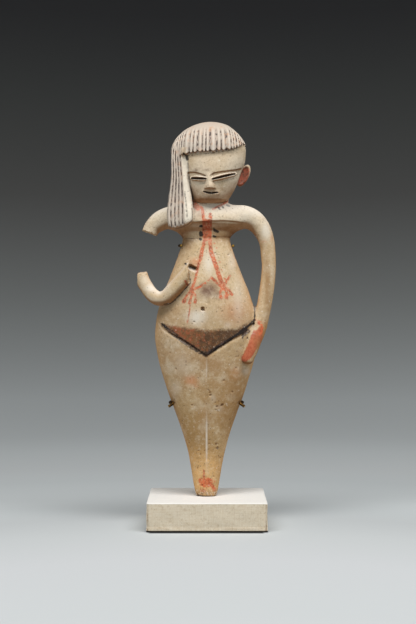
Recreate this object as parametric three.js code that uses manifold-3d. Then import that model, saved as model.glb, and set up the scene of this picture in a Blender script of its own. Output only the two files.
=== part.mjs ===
// A painted clay figurine of a standing woman, with a combed fringe, one side lock and a broken right arm,
// held by a bent brass cradle on a cloth-covered block. Millimetres, +Z up, and the figurine faces -Y.
// The origin is the centre of the block's underside.
import * as THREE from "three";
import { mergeVertices } from "three/addons/utils/BufferGeometryUtils.js";
import Module from "manifold-3d";

const wasm = await Module();
wasm.setup();

// Driving dimensions.
const STATURE = 224; // the figurine, from its broken foot to the crown
const BLOCK_WIDTH = 70;
const BLOCK_DEPTH = 60;
const BLOCK_HEIGHT = 17;
const BLOCK_CORNER = 1.6; // radius of the block's upright edges
const BLOCK_EDGE = 0.9; // bevel round its top and underside
const SPINE_RADIUS = 1.5; // the cradle's upright rod
const WIRE_RADIUS = 0.85; // its two cross wires
const BRAZE = 0.5; // how far a cross wire sinks into the rod where they are brazed
const CLAY_GAP = 0.35; // between the brass and the clay
const BORE_CLEARANCE = 0.3; // round the rod, in the block
const BORE_FLOOR = 6; // its height, where the rod's foot stands
const FLARE = 2.6; // how far the lower wire's tips bend outward
const FLARE_DROP = 1.8; // and downward
const SPINE_RISE = 4; // how far the rod runs on above the upper wire

// Facets.
const TORSO_SIDES = 36;
const HEAD_SIDES = 28;
const DOME_STEPS = 5;
const NECK_SIDES = 20;
const LIMB_SIDES = 12;
const STRIP_SIDES = 6;
const WIRE_STEPS = 22;
const WIRE_POINTS = 12; // that its route is drawn through
const SPINE_STEPS = 28;
const SPINE_POINTS = 10;
const MERGE_DISTANCE = 1e-4;

// The figurine's form is in shares of STATURE. Heights count from the foot, and x is to the viewer's right.
// Torso rows: height, half width, depth in front of the axis, depth behind it.
const TORSO = [
  [0.0, 0.0268, 0.026, 0.0265],
  [0.0295, 0.0335, 0.0285, 0.029],
  [0.0777, 0.0415, 0.033, 0.034],
  [0.1259, 0.0512, 0.0385, 0.04],
  [0.1741, 0.0656, 0.0455, 0.049],
  [0.2223, 0.082, 0.0525, 0.058],
  [0.2706, 0.1, 0.059, 0.067],
  [0.3188, 0.1155, 0.0645, 0.0765],
  [0.367, 0.1286, 0.069, 0.084],
  [0.4152, 0.137, 0.073, 0.087],
  [0.4474, 0.1366, 0.0755, 0.084],
  [0.4956, 0.1286, 0.0765, 0.0735],
  [0.5438, 0.1138, 0.0705, 0.06],
  [0.592, 0.0945, 0.0605, 0.05],
  [0.6402, 0.0765, 0.049, 0.042],
  [0.6724, 0.066, 0.0405, 0.038],
  [0.6884, 0.0636, 0.0365, 0.0365],
  [0.7045, 0.076, 0.0405, 0.037],
  [0.72, 0.092, 0.0445, 0.0375],
  [0.736, 0.098, 0.0465, 0.0375],
  [0.75, 0.092, 0.0425, 0.036],
  [0.768, 0.072, 0.034, 0.032],
];
const ROUNDNESS = 2.3; // superellipse exponent of the torso's sections
const CLEFT = { depth: 0.014, halfWidth: 0.011, low: 0.345, high: 0.475 }; // between the buttocks

// Limb rows: x, y, height, half width, half thickness.
const LEFT_ARM = [
  [-0.012, 0.0, 0.748, 0.027, 0.031],
  [0.0777, 0.0, 0.7455, 0.0325, 0.031],
  [0.1072, 0.0, 0.7445, 0.0305, 0.029],
  [0.1313, 0.0, 0.7325, 0.0272, 0.0262],
  [0.15, -0.002, 0.7085, 0.0243, 0.0235],
  [0.1621, -0.004, 0.6765, 0.0207, 0.021],
  [0.1661, -0.006, 0.6402, 0.0197, 0.0197],
  [0.1674, -0.008, 0.6081, 0.019, 0.019],
  [0.1607, -0.012, 0.5438, 0.019, 0.0188],
  [0.1487, -0.018, 0.4795, 0.0184, 0.0182],
  [0.1437, -0.023, 0.456, 0.0182, 0.017],
];
const LEFT_HAND = [
  [0.1447, -0.0225, 0.464, 0.0168, 0.0155],
  [0.1375, -0.032, 0.442, 0.0196, 0.0145],
  [0.126, -0.043, 0.4152, 0.0196, 0.0135],
  [0.1175, -0.049, 0.3884, 0.0175, 0.0125],
  [0.1095, -0.052, 0.3675, 0.0145, 0.011],
  [0.1065, -0.0525, 0.3595, 0.0075, 0.006],
];
const RIGHT_STUB = [
  [0.012, 0.0, 0.748, 0.027, 0.031],
  [-0.075, 0.0, 0.7455, 0.0325, 0.031],
  [-0.1072, 0.0, 0.7415, 0.029, 0.028],
  [-0.127, -0.001, 0.7325, 0.0262, 0.0255],
  [-0.1433, -0.002, 0.7179, 0.0225, 0.0225],
  [-0.1511, -0.004, 0.7019, 0.0208, 0.0208],
];
const RIGHT_FOREARM = [
  [-0.1712, -0.02, 0.596, 0.0186, 0.0182],
  [-0.1662, -0.026, 0.5759, 0.0184, 0.0182],
  [-0.1567, -0.034, 0.5545, 0.0186, 0.0186],
  [-0.1433, -0.042, 0.5371, 0.019, 0.019],
  [-0.1259, -0.05, 0.5269, 0.0192, 0.019],
  [-0.1072, -0.056, 0.5304, 0.0196, 0.019],
  [-0.0897, -0.0605, 0.5465, 0.0204, 0.019],
  [-0.0723, -0.0635, 0.5656, 0.0214, 0.019],
  [-0.0576, -0.0655, 0.583, 0.0228, 0.0188],
  [-0.0385, -0.0665, 0.606, 0.0232, 0.0182],
];
const WRIST_BREAK = -0.0468; // x of the upright face where the right hand broke off

// The head, about an axis of its own. Rows as the torso's, up to where its dome begins.
const HEAD_X = 0.0107;
const HEAD_Y = -0.004;
const HEAD = [
  [0.7745, 0.034, 0.03, 0.03],
  [0.7815, 0.044, 0.045, 0.042],
  [0.7956, 0.0514, 0.0545, 0.055],
  [0.815, 0.063, 0.0605, 0.0645],
  [0.8358, 0.0723, 0.066, 0.071],
  [0.8588, 0.0805, 0.0705, 0.0755],
  [0.8894, 0.0922, 0.0695, 0.0775],
  [0.92, 0.0955, 0.065, 0.0775],
];
const HEAD_ROUNDNESS = 2.15;
const DOME_TOP = 0.9895;
const DOME_ROUNDNESS = 1.8; // 2 would be an ellipsoid, and less comes to more of a point
const NECK = [
  [0.735, 0.08, 0.044, 0.038],
  [0.75, 0.07, 0.042, 0.0385],
  [0.765, 0.058, 0.039, 0.04],
  [0.785, 0.052, 0.037, 0.041],
  [0.812, 0.047, 0.037, 0.04],
];

// The hair's lower edge: degrees round the head from the front towards +X, height, thickness.
const HAIRLINE = [
  [-180, 0.842, 0.006],
  [-135, 0.85, 0.007],
  [-100, 0.882, 0.009],
  [-70, 0.896, 0.0105],
  [-45, 0.9035, 0.0105],
  [-22, 0.9093, 0.0105],
  [0, 0.9122, 0.0105],
  [27, 0.917, 0.01],
  [45, 0.925, 0.0085],
  [60, 0.9325, 0.006],
  [78, 0.936, 0.0045],
  [100, 0.928, 0.004],
  [135, 0.862, 0.006],
  [180, 0.842, 0.006],
];
const CROWN_HAIR = 0.0105; // the hair's thickness at the crown
const RIDGES = 44; // round the whole head
const RIDGE_DEPTH = 0.0026;
const LOCK = [
  // height, x, y, half width, half thickness
  [0.7205, -0.0685, -0.047, 0.029, 0.0135],
  [0.7265, -0.0687, -0.0475, 0.033, 0.0168],
  [0.75, -0.0688, -0.0465, 0.0344, 0.0185],
  [0.79, -0.069, -0.0415, 0.0315, 0.0195],
  [0.8438, -0.0696, -0.0385, 0.0241, 0.02],
  [0.9054, -0.073, -0.0345, 0.02, 0.0195],
  [0.936, -0.0722, -0.0285, 0.0175, 0.0185],
];
const LOCK_GROOVES = 6;
const LOCK_GROOVE_DEPTH = 0.003;
const LOCK_COMBED = 0.36; // where across its front the combed part ends, from -1 at its outer edge to 1
const LOCK_SLOPE = 0.95; // how far the plain strip beyond falls back, as a share of its thickness

// The face: x from the head's axis and height from eye level.
const EYE_LEVEL = 0.845;
const EYES = [
  { inner: [-0.0102, -0.0045], outer: [-0.0505, -0.0014] },
  { inner: [0.0027, -0.0061], outer: [0.0668, 0.0112] },
];
const LID = 0.0055;
const SLIT = 0.002;
const SLIT_DEPTH = 0.009;
const SLIT_INSET = 0.07; // from each end of the lids, as a share of their length
const BROWS = [
  [
    [-0.0075, 0.001],
    [-0.0227, 0.0088],
    [-0.0387, 0.0134],
    [-0.0535, 0.0145],
  ],
  [
    [-0.0015, 0.0033],
    [0.0089, 0.0112],
    [0.0247, 0.0143],
    [0.0407, 0.0167],
    [0.08, 0.0275],
  ],
];
const BROW_RADIUS = 0.0027;
const NOSE = [
  // x, height, half width, how far it stands out
  [-0.0042, 0.008, 0.004, 0.001],
  [-0.0038, -0.006, 0.0055, 0.006],
  [-0.0015, -0.0195, 0.0095, 0.014],
  [-0.001, -0.0265, 0.0142, 0.0155],
  [-0.001, -0.0298, 0.01, 0.0065],
];
const MOUTH = { x: 0.0008, height: -0.0398, halfWidth: 0.019, halfOpening: 0.0017, depth: 0.008 };
const EAR = { x: 0.1, y: 0.006, height: 0.8575, halfWidth: 0.0158, halfThickness: 0.009, halfHeight: 0.0315 };
const EAR_LEAN = 23; // degrees from upright, its top outward
const EAR_WALL = 0.0038;

// Carving on the body, as x and height.
const GROIN_FOLDS = [
  [-0.118, 0.462],
  [-0.095, 0.437],
  [0.001, 0.3725],
  [0.098, 0.4285],
  [0.129, 0.47],
];
const FOLD_RADIUS = 0.003;
const LEG_LINE = [
  [0.0, 0.366],
  [0.001, 0.23],
  [0.0005, 0.1],
];
const LEG_LINE_RADIUS = 0.0024;
const NAVEL = { x: -0.008, height: 0.498, radius: 0.0065, depth: 0.013 };
const SCAR = { x: -0.0395, height: 0.6085, halfWidth: 0.0115, halfHeight: 0.0175, depth: 0.01, lean: 14 };

// The cradle's wires: height, and how far past the body's sides they reach, in degrees.
const UPPER_WIRE = { height: 0.6684, leftReach: 24, rightReach: 9 };
const LOWER_WIRE = { height: 0.249, leftReach: 27, rightReach: 25 };

const CLAY = new THREE.MeshStandardMaterial({ color: 0xc4b08e, roughness: 0.85, metalness: 0 });
const BRASS = new THREE.MeshStandardMaterial({ color: 0x6b5426, roughness: 0.4, metalness: 0.9 });
const LINEN = new THREE.MeshStandardMaterial({ color: 0xd9ceb8, roughness: 0.95, metalness: 0 });

const FRONT = new THREE.Vector3(0, -1, 0);
const radians = THREE.MathUtils.degToRad;
const ofStature = (share) => share * STATURE;

// A point of the figurine, whose foot stands on the block.
function onFigure(x, y, height) {
  return new THREE.Vector3(ofStature(x), ofStature(y), BLOCK_HEIGHT + ofStature(height));
}

// Smooth values between the rows of a table whose first column rises.
function valuesAt(rows, key) {
  const last = rows.length - 1;
  const place = THREE.MathUtils.clamp(key, rows[0][0], rows[last][0]);
  let i = 0;
  while (i < last - 1 && rows[i + 1][0] < place) i += 1;
  const span = rows[i + 1][0] - rows[i][0];
  const t = (place - rows[i][0]) / span;
  const slope = (k, column) => {
    const before = rows[Math.max(k - 1, 0)];
    const after = rows[Math.min(k + 1, last)];
    return (after[column] - before[column]) / (after[0] - before[0]);
  };
  return rows[i].slice(1).map((start, n) => {
    const column = n + 1;
    const end = rows[i + 1][column];
    const ease = t * t * (3 - 2 * t);
    const leave = slope(i, column) * t * (1 - t) ** 2;
    const arrive = slope(i + 1, column) * t * t * (t - 1);
    return start + (end - start) * ease + (leave + arrive) * span;
  });
}

// A superellipse point with its own depth in front and behind. Angle 0 is the front (-Y) and 90 is +X.
function sectionPoint(angle, [halfWidth, front, back], exponent) {
  const across = Math.sin(angle);
  const along = -Math.cos(angle);
  const power = 2 / exponent;
  const depth = along < 0 ? front : back;
  return [
    halfWidth * Math.sign(across) * Math.abs(across) ** power,
    depth * Math.sign(along) * Math.abs(along) ** power,
  ];
}

const anglesRound = (count) => Array.from({ length: count }, (_, j) => (2 * Math.PI * j) / count);

// A closed body through rings of equal length, each counter-clockwise seen from the last ring's side.
function loft(rings) {
  const count = rings[0].length;
  const points = rings.flat();
  const middle = (ring) => ring.reduce((sum, p) => sum.add(p), new THREE.Vector3()).divideScalar(ring.length);
  const foot = points.push(middle(rings[0])) - 1;
  const top = points.push(middle(rings.at(-1))) - 1;
  const lastRing = (rings.length - 1) * count;
  const faces = [];
  for (let j = 0; j < count; j += 1) {
    const k = (j + 1) % count;
    faces.push(foot, k, j, top, lastRing + j, lastRing + k);
    for (let low = 0; low < lastRing; low += count) {
      const high = low + count;
      faces.push(low + j, low + k, high + k, low + j, high + k, high + j);
    }
  }
  const geometry = new THREE.BufferGeometry().setFromPoints(points);
  geometry.setIndex(faces);
  return geometry;
}

// A limb through rows of x, y, height, half width and half thickness; its broad side faces the front.
function limb(rows, steps, sides = LIMB_SIDES) {
  const path = new THREE.CatmullRomCurve3(rows.map(([x, y, h]) => onFigure(x, y, h)));
  const girth = new THREE.CatmullRomCurve3(
    rows.map((row) => new THREE.Vector3(ofStature(row[3]), ofStature(row[4]), 0)),
  );
  const rings = Array.from({ length: steps + 1 }, (_, i) => {
    const centre = path.getPoint(i / steps);
    const size = girth.getPoint(i / steps);
    const tangent = path.getTangent(i / steps);
    const side = new THREE.Vector3().crossVectors(FRONT, tangent).normalize();
    const normal = new THREE.Vector3().crossVectors(tangent, side).normalize();
    return anglesRound(sides).map((a) =>
      centre
        .clone()
        .addScaledVector(side, Math.cos(a) * size.x)
        .addScaledVector(normal, Math.sin(a) * size.y),
    );
  });
  return asSolid(loft(rings));
}

function asSolid(geometry) {
  const bare = geometry.clone();
  bare.deleteAttribute("normal");
  bare.deleteAttribute("uv");
  const merged = mergeVertices(bare, MERGE_DISTANCE);
  return new wasm.Manifold(
    new wasm.Mesh({
      numProp: 3,
      vertProperties: new Float32Array(merged.attributes.position.array),
      triVerts: new Uint32Array(merged.index.array),
    }),
  );
}

function asGeometry(solid) {
  const mesh = solid.getMesh();
  const geometry = new THREE.BufferGeometry();
  geometry.setAttribute("position", new THREE.BufferAttribute(mesh.vertProperties, 3));
  geometry.setIndex(new THREE.BufferAttribute(mesh.triVerts, 1));
  geometry.computeVertexNormals();
  return geometry;
}

const joined = (solids) => solids.reduce((whole, next) => whole.add(next));
const carved = (solid, cuts) => cuts.reduce((whole, cut) => whole.subtract(cut), solid);

// The head's half width and depths at a height, grown outward by the hair's thickness.
function headSection(height, grow = 0) {
  const domeBase = HEAD.at(-1)[0];
  const rise = Math.max(height - domeBase, 0) / (DOME_TOP + grow - domeBase);
  const shrink = Math.max(1 - rise ** DOME_ROUNDNESS, 0) ** (1 / DOME_ROUNDNESS);
  return valuesAt(HEAD, height).map((value) => (value + grow) * shrink);
}

// How far forward the surface lies at x, in a section of the given size.
function frontOf([halfWidth, front], x, exponent) {
  const across = Math.min(Math.abs(x / halfWidth), 0.98);
  return -front * (1 - across ** exponent) ** (1 / exponent);
}

const torsoFront = (x, height) => frontOf(valuesAt(TORSO, height), x, ROUNDNESS);
const faceFront = (x, height) => HEAD_Y + frontOf(headSection(height), x, HEAD_ROUNDNESS);

const heightsOf = (rows) => rows.map(([height]) => height);

function torso() {
  const cleftAt = (x, height) => {
    const { depth, halfWidth, low, high } = CLEFT;
    const along = THREE.MathUtils.clamp((height - low) / (high - low), 0, 1);
    return depth * Math.sin(Math.PI * along) * Math.exp(-((x / halfWidth) ** 2));
  };
  return asSolid(
    loft(
      heightsOf(TORSO).map((height) =>
        anglesRound(TORSO_SIDES).map((angle) => {
          const [x, y] = sectionPoint(angle, valuesAt(TORSO, height), ROUNDNESS);
          return onFigure(x, y > 0 ? y - cleftAt(x, height) : y, height);
        }),
      ),
    ),
  );
}

function neck() {
  return asSolid(
    loft(
      heightsOf(NECK).map((height) =>
        anglesRound(NECK_SIDES).map((angle) => {
          const [x, y] = sectionPoint(angle, valuesAt(NECK, height), 2);
          return onFigure(x + HEAD_X / 2, y, height);
        }),
      ),
    ),
  );
}

function skull() {
  const domeBase = HEAD.at(-1)[0];
  const domeHeights = Array.from({ length: DOME_STEPS - 1 }, (_, i) => {
    const turn = ((i + 1) * Math.PI) / 2 / DOME_STEPS;
    return domeBase + (DOME_TOP - domeBase) * Math.sin(turn);
  });
  const rings = [...heightsOf(HEAD), ...domeHeights].map((height) =>
    anglesRound(HEAD_SIDES).map((angle) => {
      const [x, y] = sectionPoint(angle, headSection(height), HEAD_ROUNDNESS);
      return onFigure(HEAD_X + x, HEAD_Y + y, height);
    }),
  );
  return asSolid(loft(rings));
}

// A cap from the hairline to the crown, combed into ridges that fade towards the crown.
function hairCap() {
  const hairline = (angle) => {
    const degrees = THREE.MathUtils.radToDeg(angle);
    return valuesAt(HAIRLINE, degrees > 180 ? degrees - 360 : degrees);
  };
  const ring = (level, sunk) =>
    anglesRound(RIDGES * 2).map((angle, j) => {
      const [low, thickness] = hairline(angle);
      const comb = j % 2 ? RIDGE_DEPTH * (1 - level ** 4) : 0;
      const grow = sunk ? -thickness : THREE.MathUtils.lerp(thickness, CROWN_HAIR, level) - comb;
      const height = low + (DOME_TOP + Math.max(grow, 0) - low) * Math.sin((level * Math.PI) / 2);
      const [x, y] = sectionPoint(angle, headSection(height, grow), HEAD_ROUNDNESS);
      return onFigure(HEAD_X + x, HEAD_Y + y, height);
    });
  const levels = [0, 0.2, 0.4, 0.6, 0.78, 0.92];
  return asSolid(loft([ring(0, true), ...levels.map((level) => ring(level, false))]));
}

// The lock's section: combed at the front, with a plain strip falling back on the face's side.
function lockRing([height, x, y, halfWidth, halfThickness]) {
  const combedSteps = LOCK_GROOVES * 2;
  const plainSteps = 4;
  const backSteps = 6;
  const rounded = (u, exponent) => (1 - Math.abs(u) ** exponent) ** (1 / exponent);
  const front = Array.from({ length: combedSteps + plainSteps + 1 }, (_, i) => {
    const beyond = Math.max(i - combedSteps, 0) / plainSteps;
    const u = -1 + (1 + LOCK_COMBED) * Math.min(i / combedSteps, 1) + (1 - LOCK_COMBED) * beyond;
    const groove = i < combedSteps && i % 2 ? LOCK_GROOVE_DEPTH : 0;
    const depth = halfThickness * (rounded(u * 0.985, 4) - LOCK_SLOPE * beyond ** 1.4) - groove;
    return onFigure(x + halfWidth * u, y - depth, height);
  });
  const back = Array.from({ length: backSteps - 1 }, (_, i) => {
    const u = 1 - (2 * (i + 1)) / backSteps;
    return onFigure(x + halfWidth * u, y + halfThickness * rounded(u, 2.5), height);
  });
  return [...front, ...back];
}

function sideLock() {
  const rings = heightsOf(LOCK).map((height) => lockRing([height, ...valuesAt(LOCK, height)]));
  return asSolid(loft(rings));
}

// A point on the face, standing out by the given share.
function onFace(x, height, out) {
  const level = EYE_LEVEL + height;
  return [HEAD_X + x, faceFront(x, level) - out, level];
}

// A strip laid along the face through its points, with its half height and how far it stands out.
function faceStrip(points, halfHeight, out, steps) {
  const path = new THREE.CatmullRomCurve3(points.map(([x, height]) => new THREE.Vector3(x, height, 0)));
  const rows = path.getPoints(steps).map((p, i) => {
    const taper = 0.35 + 0.65 * Math.sin((Math.PI * (i + 0.5)) / (steps + 1)) ** 0.5;
    return [...onFace(p.x, p.y, 0), halfHeight * taper, out * taper];
  });
  return limb(rows, steps, STRIP_SIDES);
}

function nose() {
  const rows = NOSE.map(([x, height, halfWidth, out]) => [...onFace(x, height, 0), halfWidth, out]);
  return limb(rows, 8);
}

function mouth() {
  const { x, height, halfWidth, halfOpening, depth } = MOUTH;
  const points = [-1, 0, 1].map((side) => [x + side * halfWidth, height + Math.abs(side) * halfOpening]);
  return faceStrip(points, halfOpening, depth, 6);
}

function ellipsoid(x, y, height, halfWidth, halfThickness, halfHeight, lean) {
  const geometry = new THREE.SphereGeometry(1, 10, 8);
  geometry.scale(ofStature(halfWidth), ofStature(halfThickness), ofStature(halfHeight));
  geometry.rotateY(radians(lean));
  const centre = onFigure(x, y, height);
  return asSolid(geometry.translate(centre.x, centre.y, centre.z));
}

function ear() {
  const { x, y, height, halfWidth, halfThickness, halfHeight } = EAR;
  const shell = ellipsoid(x, y, height, halfWidth, halfThickness, halfHeight, EAR_LEAN);
  const dish = ellipsoid(
    x,
    y - halfThickness,
    height,
    halfWidth - EAR_WALL,
    halfThickness,
    halfHeight - EAR_WALL,
    EAR_LEAN,
  );
  return shell.subtract(dish);
}

function head() {
  const lids = EYES.map(({ inner, outer }) => faceStrip([inner, outer], LID, LID, 6));
  const slits = EYES.map(({ inner, outer }) => {
    const along = (share) => inner.map((from, i) => from + (outer[i] - from) * share);
    return faceStrip([along(SLIT_INSET), along(1 - SLIT_INSET)], SLIT, SLIT_DEPTH, 6);
  });
  const brows = BROWS.map((points) => faceStrip(points, BROW_RADIUS, BROW_RADIUS, 8));
  const face = joined([skull(), ear(), nose(), ...brows, ...lids]);
  return joined([carved(face, [...slits, mouth()]), hairCap(), sideLock()]);
}

// The right forearm, cut off upright where the hand is lost.
function rightForearm() {
  const size = STATURE / 4;
  const lost = new THREE.BoxGeometry(size, size, size);
  lost.translate(ofStature(WRIST_BREAK) + size / 2, 0, BLOCK_HEIGHT + ofStature(RIGHT_FOREARM.at(-1)[2]));
  return limb(RIGHT_FOREARM, 16).subtract(asSolid(lost));
}

// A groove pressed along the torso's front through points of x and height.
function grooveOnTorso(points, radius, steps) {
  const places = points.map(([x, height]) => new THREE.Vector3(x, height, 0));
  const path = new THREE.CatmullRomCurve3(places, false, "catmullrom", 0.1);
  const rows = path.getPoints(steps).map((p) => [p.x, torsoFront(p.x, p.y), p.y, radius, radius]);
  return limb(rows, steps, STRIP_SIDES);
}

function navel() {
  const { x, height, radius, depth } = NAVEL;
  const pit = new THREE.ConeGeometry(ofStature(radius), ofStature(depth) * 2, 10);
  const mouthAt = onFigure(x, torsoFront(x, height), height);
  pit.translate(0, ofStature(depth) * 0.4, 0);
  return asSolid(pit.translate(mouthAt.x, mouthAt.y, mouthAt.z));
}

// The hollow that the lost hand left, deepest under its upper lip.
function handScar() {
  const { x, height, halfWidth, halfHeight, depth, lean } = SCAR;
  const outline = new THREE.Shape([
    new THREE.Vector2(-ofStature(halfWidth), ofStature(halfHeight) * 0.75),
    new THREE.Vector2(-ofStature(halfWidth) * 0.4, -ofStature(halfHeight)),
    new THREE.Vector2(ofStature(halfWidth), ofStature(halfHeight) * 0.5),
  ]);
  const wedge = new THREE.ExtrudeGeometry(outline, { depth: ofStature(depth) * 2, bevelEnabled: false });
  wedge.rotateX(radians(90 + lean));
  const at = onFigure(x, torsoFront(x, height) + depth, height);
  return asSolid(wedge.translate(at.x, at.y, at.z));
}

function figurine() {
  const body = joined([
    torso(),
    neck(),
    limb(LEFT_ARM, 22),
    limb(LEFT_HAND, 8),
    limb(RIGHT_STUB, 8),
    rightForearm(),
    head(),
  ]);
  return carved(body, [
    grooveOnTorso(GROIN_FOLDS, FOLD_RADIUS, 20),
    grooveOnTorso(LEG_LINE, LEG_LINE_RADIUS, 12),
    navel(),
    handScar(),
  ]);
}

function rodAlong(points, radius, steps) {
  const circle = new THREE.Shape().absarc(0, 0, radius, 0, 2 * Math.PI);
  const path = new THREE.CatmullRomCurve3(points);
  return asSolid(new THREE.ExtrudeGeometry(circle, { steps, curveSegments: 4, extrudePath: path }));
}

// A cross wire round the body's back, its tips past the sides; flare and drop bend the tips.
function crossWire({ height, leftReach, rightReach }, flare, drop) {
  const stand = (CLAY_GAP + WIRE_RADIUS) / STATURE;
  const section = valuesAt(TORSO, height).map((value) => value + stand);
  const points = Array.from({ length: WIRE_POINTS + 1 }, (_, i) => {
    const degrees = 90 - rightReach + ((180 + leftReach + rightReach) * i) / WIRE_POINTS;
    const [x, y] = sectionPoint(radians(degrees), section, ROUNDNESS);
    return onFigure(x, y, height);
  });
  if (flare) {
    const bent = ({ x, y, z }) => new THREE.Vector3(x + Math.sign(x) * flare, y - flare / 2, z - drop);
    points.unshift(bent(points[0]));
    points.push(bent(points.at(-1)));
  }
  return rodAlong(points, WIRE_RADIUS, WIRE_STEPS);
}

// Where the rod's axis runs behind the body: the cross wires lie between it and the clay.
function spineY(height) {
  const back = valuesAt(TORSO, height)[2];
  return ofStature(back) + CLAY_GAP + 2 * WIRE_RADIUS + SPINE_RADIUS - BRAZE;
}

function cradle() {
  const top = UPPER_WIRE.height + SPINE_RISE / STATURE;
  const behind = Array.from({ length: SPINE_POINTS + 1 }, (_, i) => {
    const height = (top * i) / SPINE_POINTS;
    return new THREE.Vector3(0, spineY(height), BLOCK_HEIGHT + ofStature(height));
  });
  const spine = [new THREE.Vector3(0, spineY(0), BORE_FLOOR), ...behind];
  return joined([
    rodAlong(spine, SPINE_RADIUS, SPINE_STEPS),
    crossWire(UPPER_WIRE, 0, 0),
    crossWire(LOWER_WIRE, FLARE, FLARE_DROP),
  ]);
}

function block() {
  const x = BLOCK_WIDTH / 2 - BLOCK_EDGE;
  const y = BLOCK_DEPTH / 2 - BLOCK_EDGE;
  const r = BLOCK_CORNER;
  const outline = new THREE.Shape();
  outline.absarc(x - r, y - r, r, 0, Math.PI / 2);
  outline.absarc(-x + r, y - r, r, Math.PI / 2, Math.PI);
  outline.absarc(-x + r, -y + r, r, Math.PI, 1.5 * Math.PI);
  outline.absarc(x - r, -y + r, r, 1.5 * Math.PI, 2 * Math.PI);
  const slab = new THREE.ExtrudeGeometry(outline, {
    depth: BLOCK_HEIGHT - 2 * BLOCK_EDGE,
    bevelThickness: BLOCK_EDGE,
    bevelSize: BLOCK_EDGE,
    bevelSegments: 2,
    curveSegments: 4,
  });
  slab.translate(0, 0, BLOCK_EDGE);
  const boreRadius = SPINE_RADIUS + BORE_CLEARANCE;
  const boreDepth = BLOCK_HEIGHT - BORE_FLOOR;
  const bore = new THREE.CylinderGeometry(boreRadius, boreRadius, 2 * boreDepth, 24);
  bore.rotateX(Math.PI / 2);
  bore.translate(0, spineY(0), BLOCK_HEIGHT);
  return asSolid(slab).subtract(asSolid(bore));
}

function piece(name, solid, material) {
  const mesh = new THREE.Mesh(asGeometry(solid), material);
  mesh.name = name;
  return mesh;
}

const statuette = new THREE.Group();
statuette.add(
  piece("figurine", figurine(), CLAY),
  piece("brass_cradle", cradle(), BRASS),
  piece("linen_covered_block", block(), LINEN),
);

export default statuette;
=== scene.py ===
"""The looks of a painted clay figurine that a brass cradle holds on a linen-covered block.

The figurine's form is a distance field on a grid, made from the same shares of its stature as the solid, and
turned into one smooth mesh. Its paint is laid by distances to painted strokes, kept on the mesh's points.
Lengths in the tables are shares of the stature or millimetres, as each says. Blender's own are metres.
"""

import math

import bpy
import numpy as np
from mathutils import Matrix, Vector


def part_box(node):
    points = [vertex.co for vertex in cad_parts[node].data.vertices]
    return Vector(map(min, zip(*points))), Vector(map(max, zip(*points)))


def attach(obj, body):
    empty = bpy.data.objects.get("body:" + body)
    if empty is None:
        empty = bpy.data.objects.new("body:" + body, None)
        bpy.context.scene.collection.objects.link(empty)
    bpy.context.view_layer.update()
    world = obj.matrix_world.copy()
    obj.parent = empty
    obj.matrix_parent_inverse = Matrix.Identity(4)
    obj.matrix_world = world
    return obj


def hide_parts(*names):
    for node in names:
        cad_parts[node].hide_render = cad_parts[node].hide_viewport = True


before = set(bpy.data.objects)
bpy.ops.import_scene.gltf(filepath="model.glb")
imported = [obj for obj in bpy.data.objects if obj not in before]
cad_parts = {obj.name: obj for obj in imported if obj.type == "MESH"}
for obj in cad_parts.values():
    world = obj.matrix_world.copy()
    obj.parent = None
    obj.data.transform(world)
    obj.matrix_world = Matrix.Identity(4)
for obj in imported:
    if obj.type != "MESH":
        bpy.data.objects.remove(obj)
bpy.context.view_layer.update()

MM = 0.001
clay_low, clay_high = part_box("figurine")
block_low, block_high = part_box("linen_covered_block")
FOOT = clay_low[2]  # the height of the figurine's foot, in metres
STATURE = (clay_high[2] - clay_low[2]) / MM  # in millimetres

# The grid's spacing in millimetres, and the most triangles that the clay's mesh keeps.
GRID_STEP = 0.38
MOST_TRIANGLES = 192000
FAR = 9.0  # the farthest distance that is kept, in millimetres
# The least size of a section, and the least length, that anything is divided by.
LEAST_SIZE = 0.05
TINY = 1e-6

# The clay's form, in shares of the stature. Heights count from the foot.
# Torso rows: height, half width, depth in front of the axis, depth behind it.
TORSO = [
    (0.0, 0.0268, 0.026, 0.0265),
    (0.0295, 0.0335, 0.0285, 0.029),
    (0.0777, 0.0415, 0.033, 0.034),
    (0.1259, 0.0512, 0.0385, 0.04),
    (0.1741, 0.0656, 0.0455, 0.049),
    (0.2223, 0.082, 0.0525, 0.058),
    (0.2706, 0.1, 0.059, 0.067),
    (0.3188, 0.1155, 0.0645, 0.0765),
    (0.367, 0.1286, 0.069, 0.084),
    (0.4152, 0.137, 0.073, 0.087),
    (0.4474, 0.1366, 0.0755, 0.084),
    (0.4956, 0.1286, 0.0765, 0.0735),
    (0.5438, 0.1138, 0.0705, 0.06),
    (0.592, 0.0945, 0.0605, 0.05),
    (0.6402, 0.0765, 0.049, 0.042),
    (0.6724, 0.066, 0.0405, 0.038),
    (0.6884, 0.0636, 0.035, 0.0365),
    (0.7045, 0.076, 0.0412, 0.037),
    (0.72, 0.092, 0.05, 0.0375),
    (0.734, 0.098, 0.0545, 0.0375),
    (0.75, 0.092, 0.05, 0.036),
    (0.768, 0.072, 0.036, 0.032),
]
TORSO_ROUNDNESS = 2.3

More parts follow.
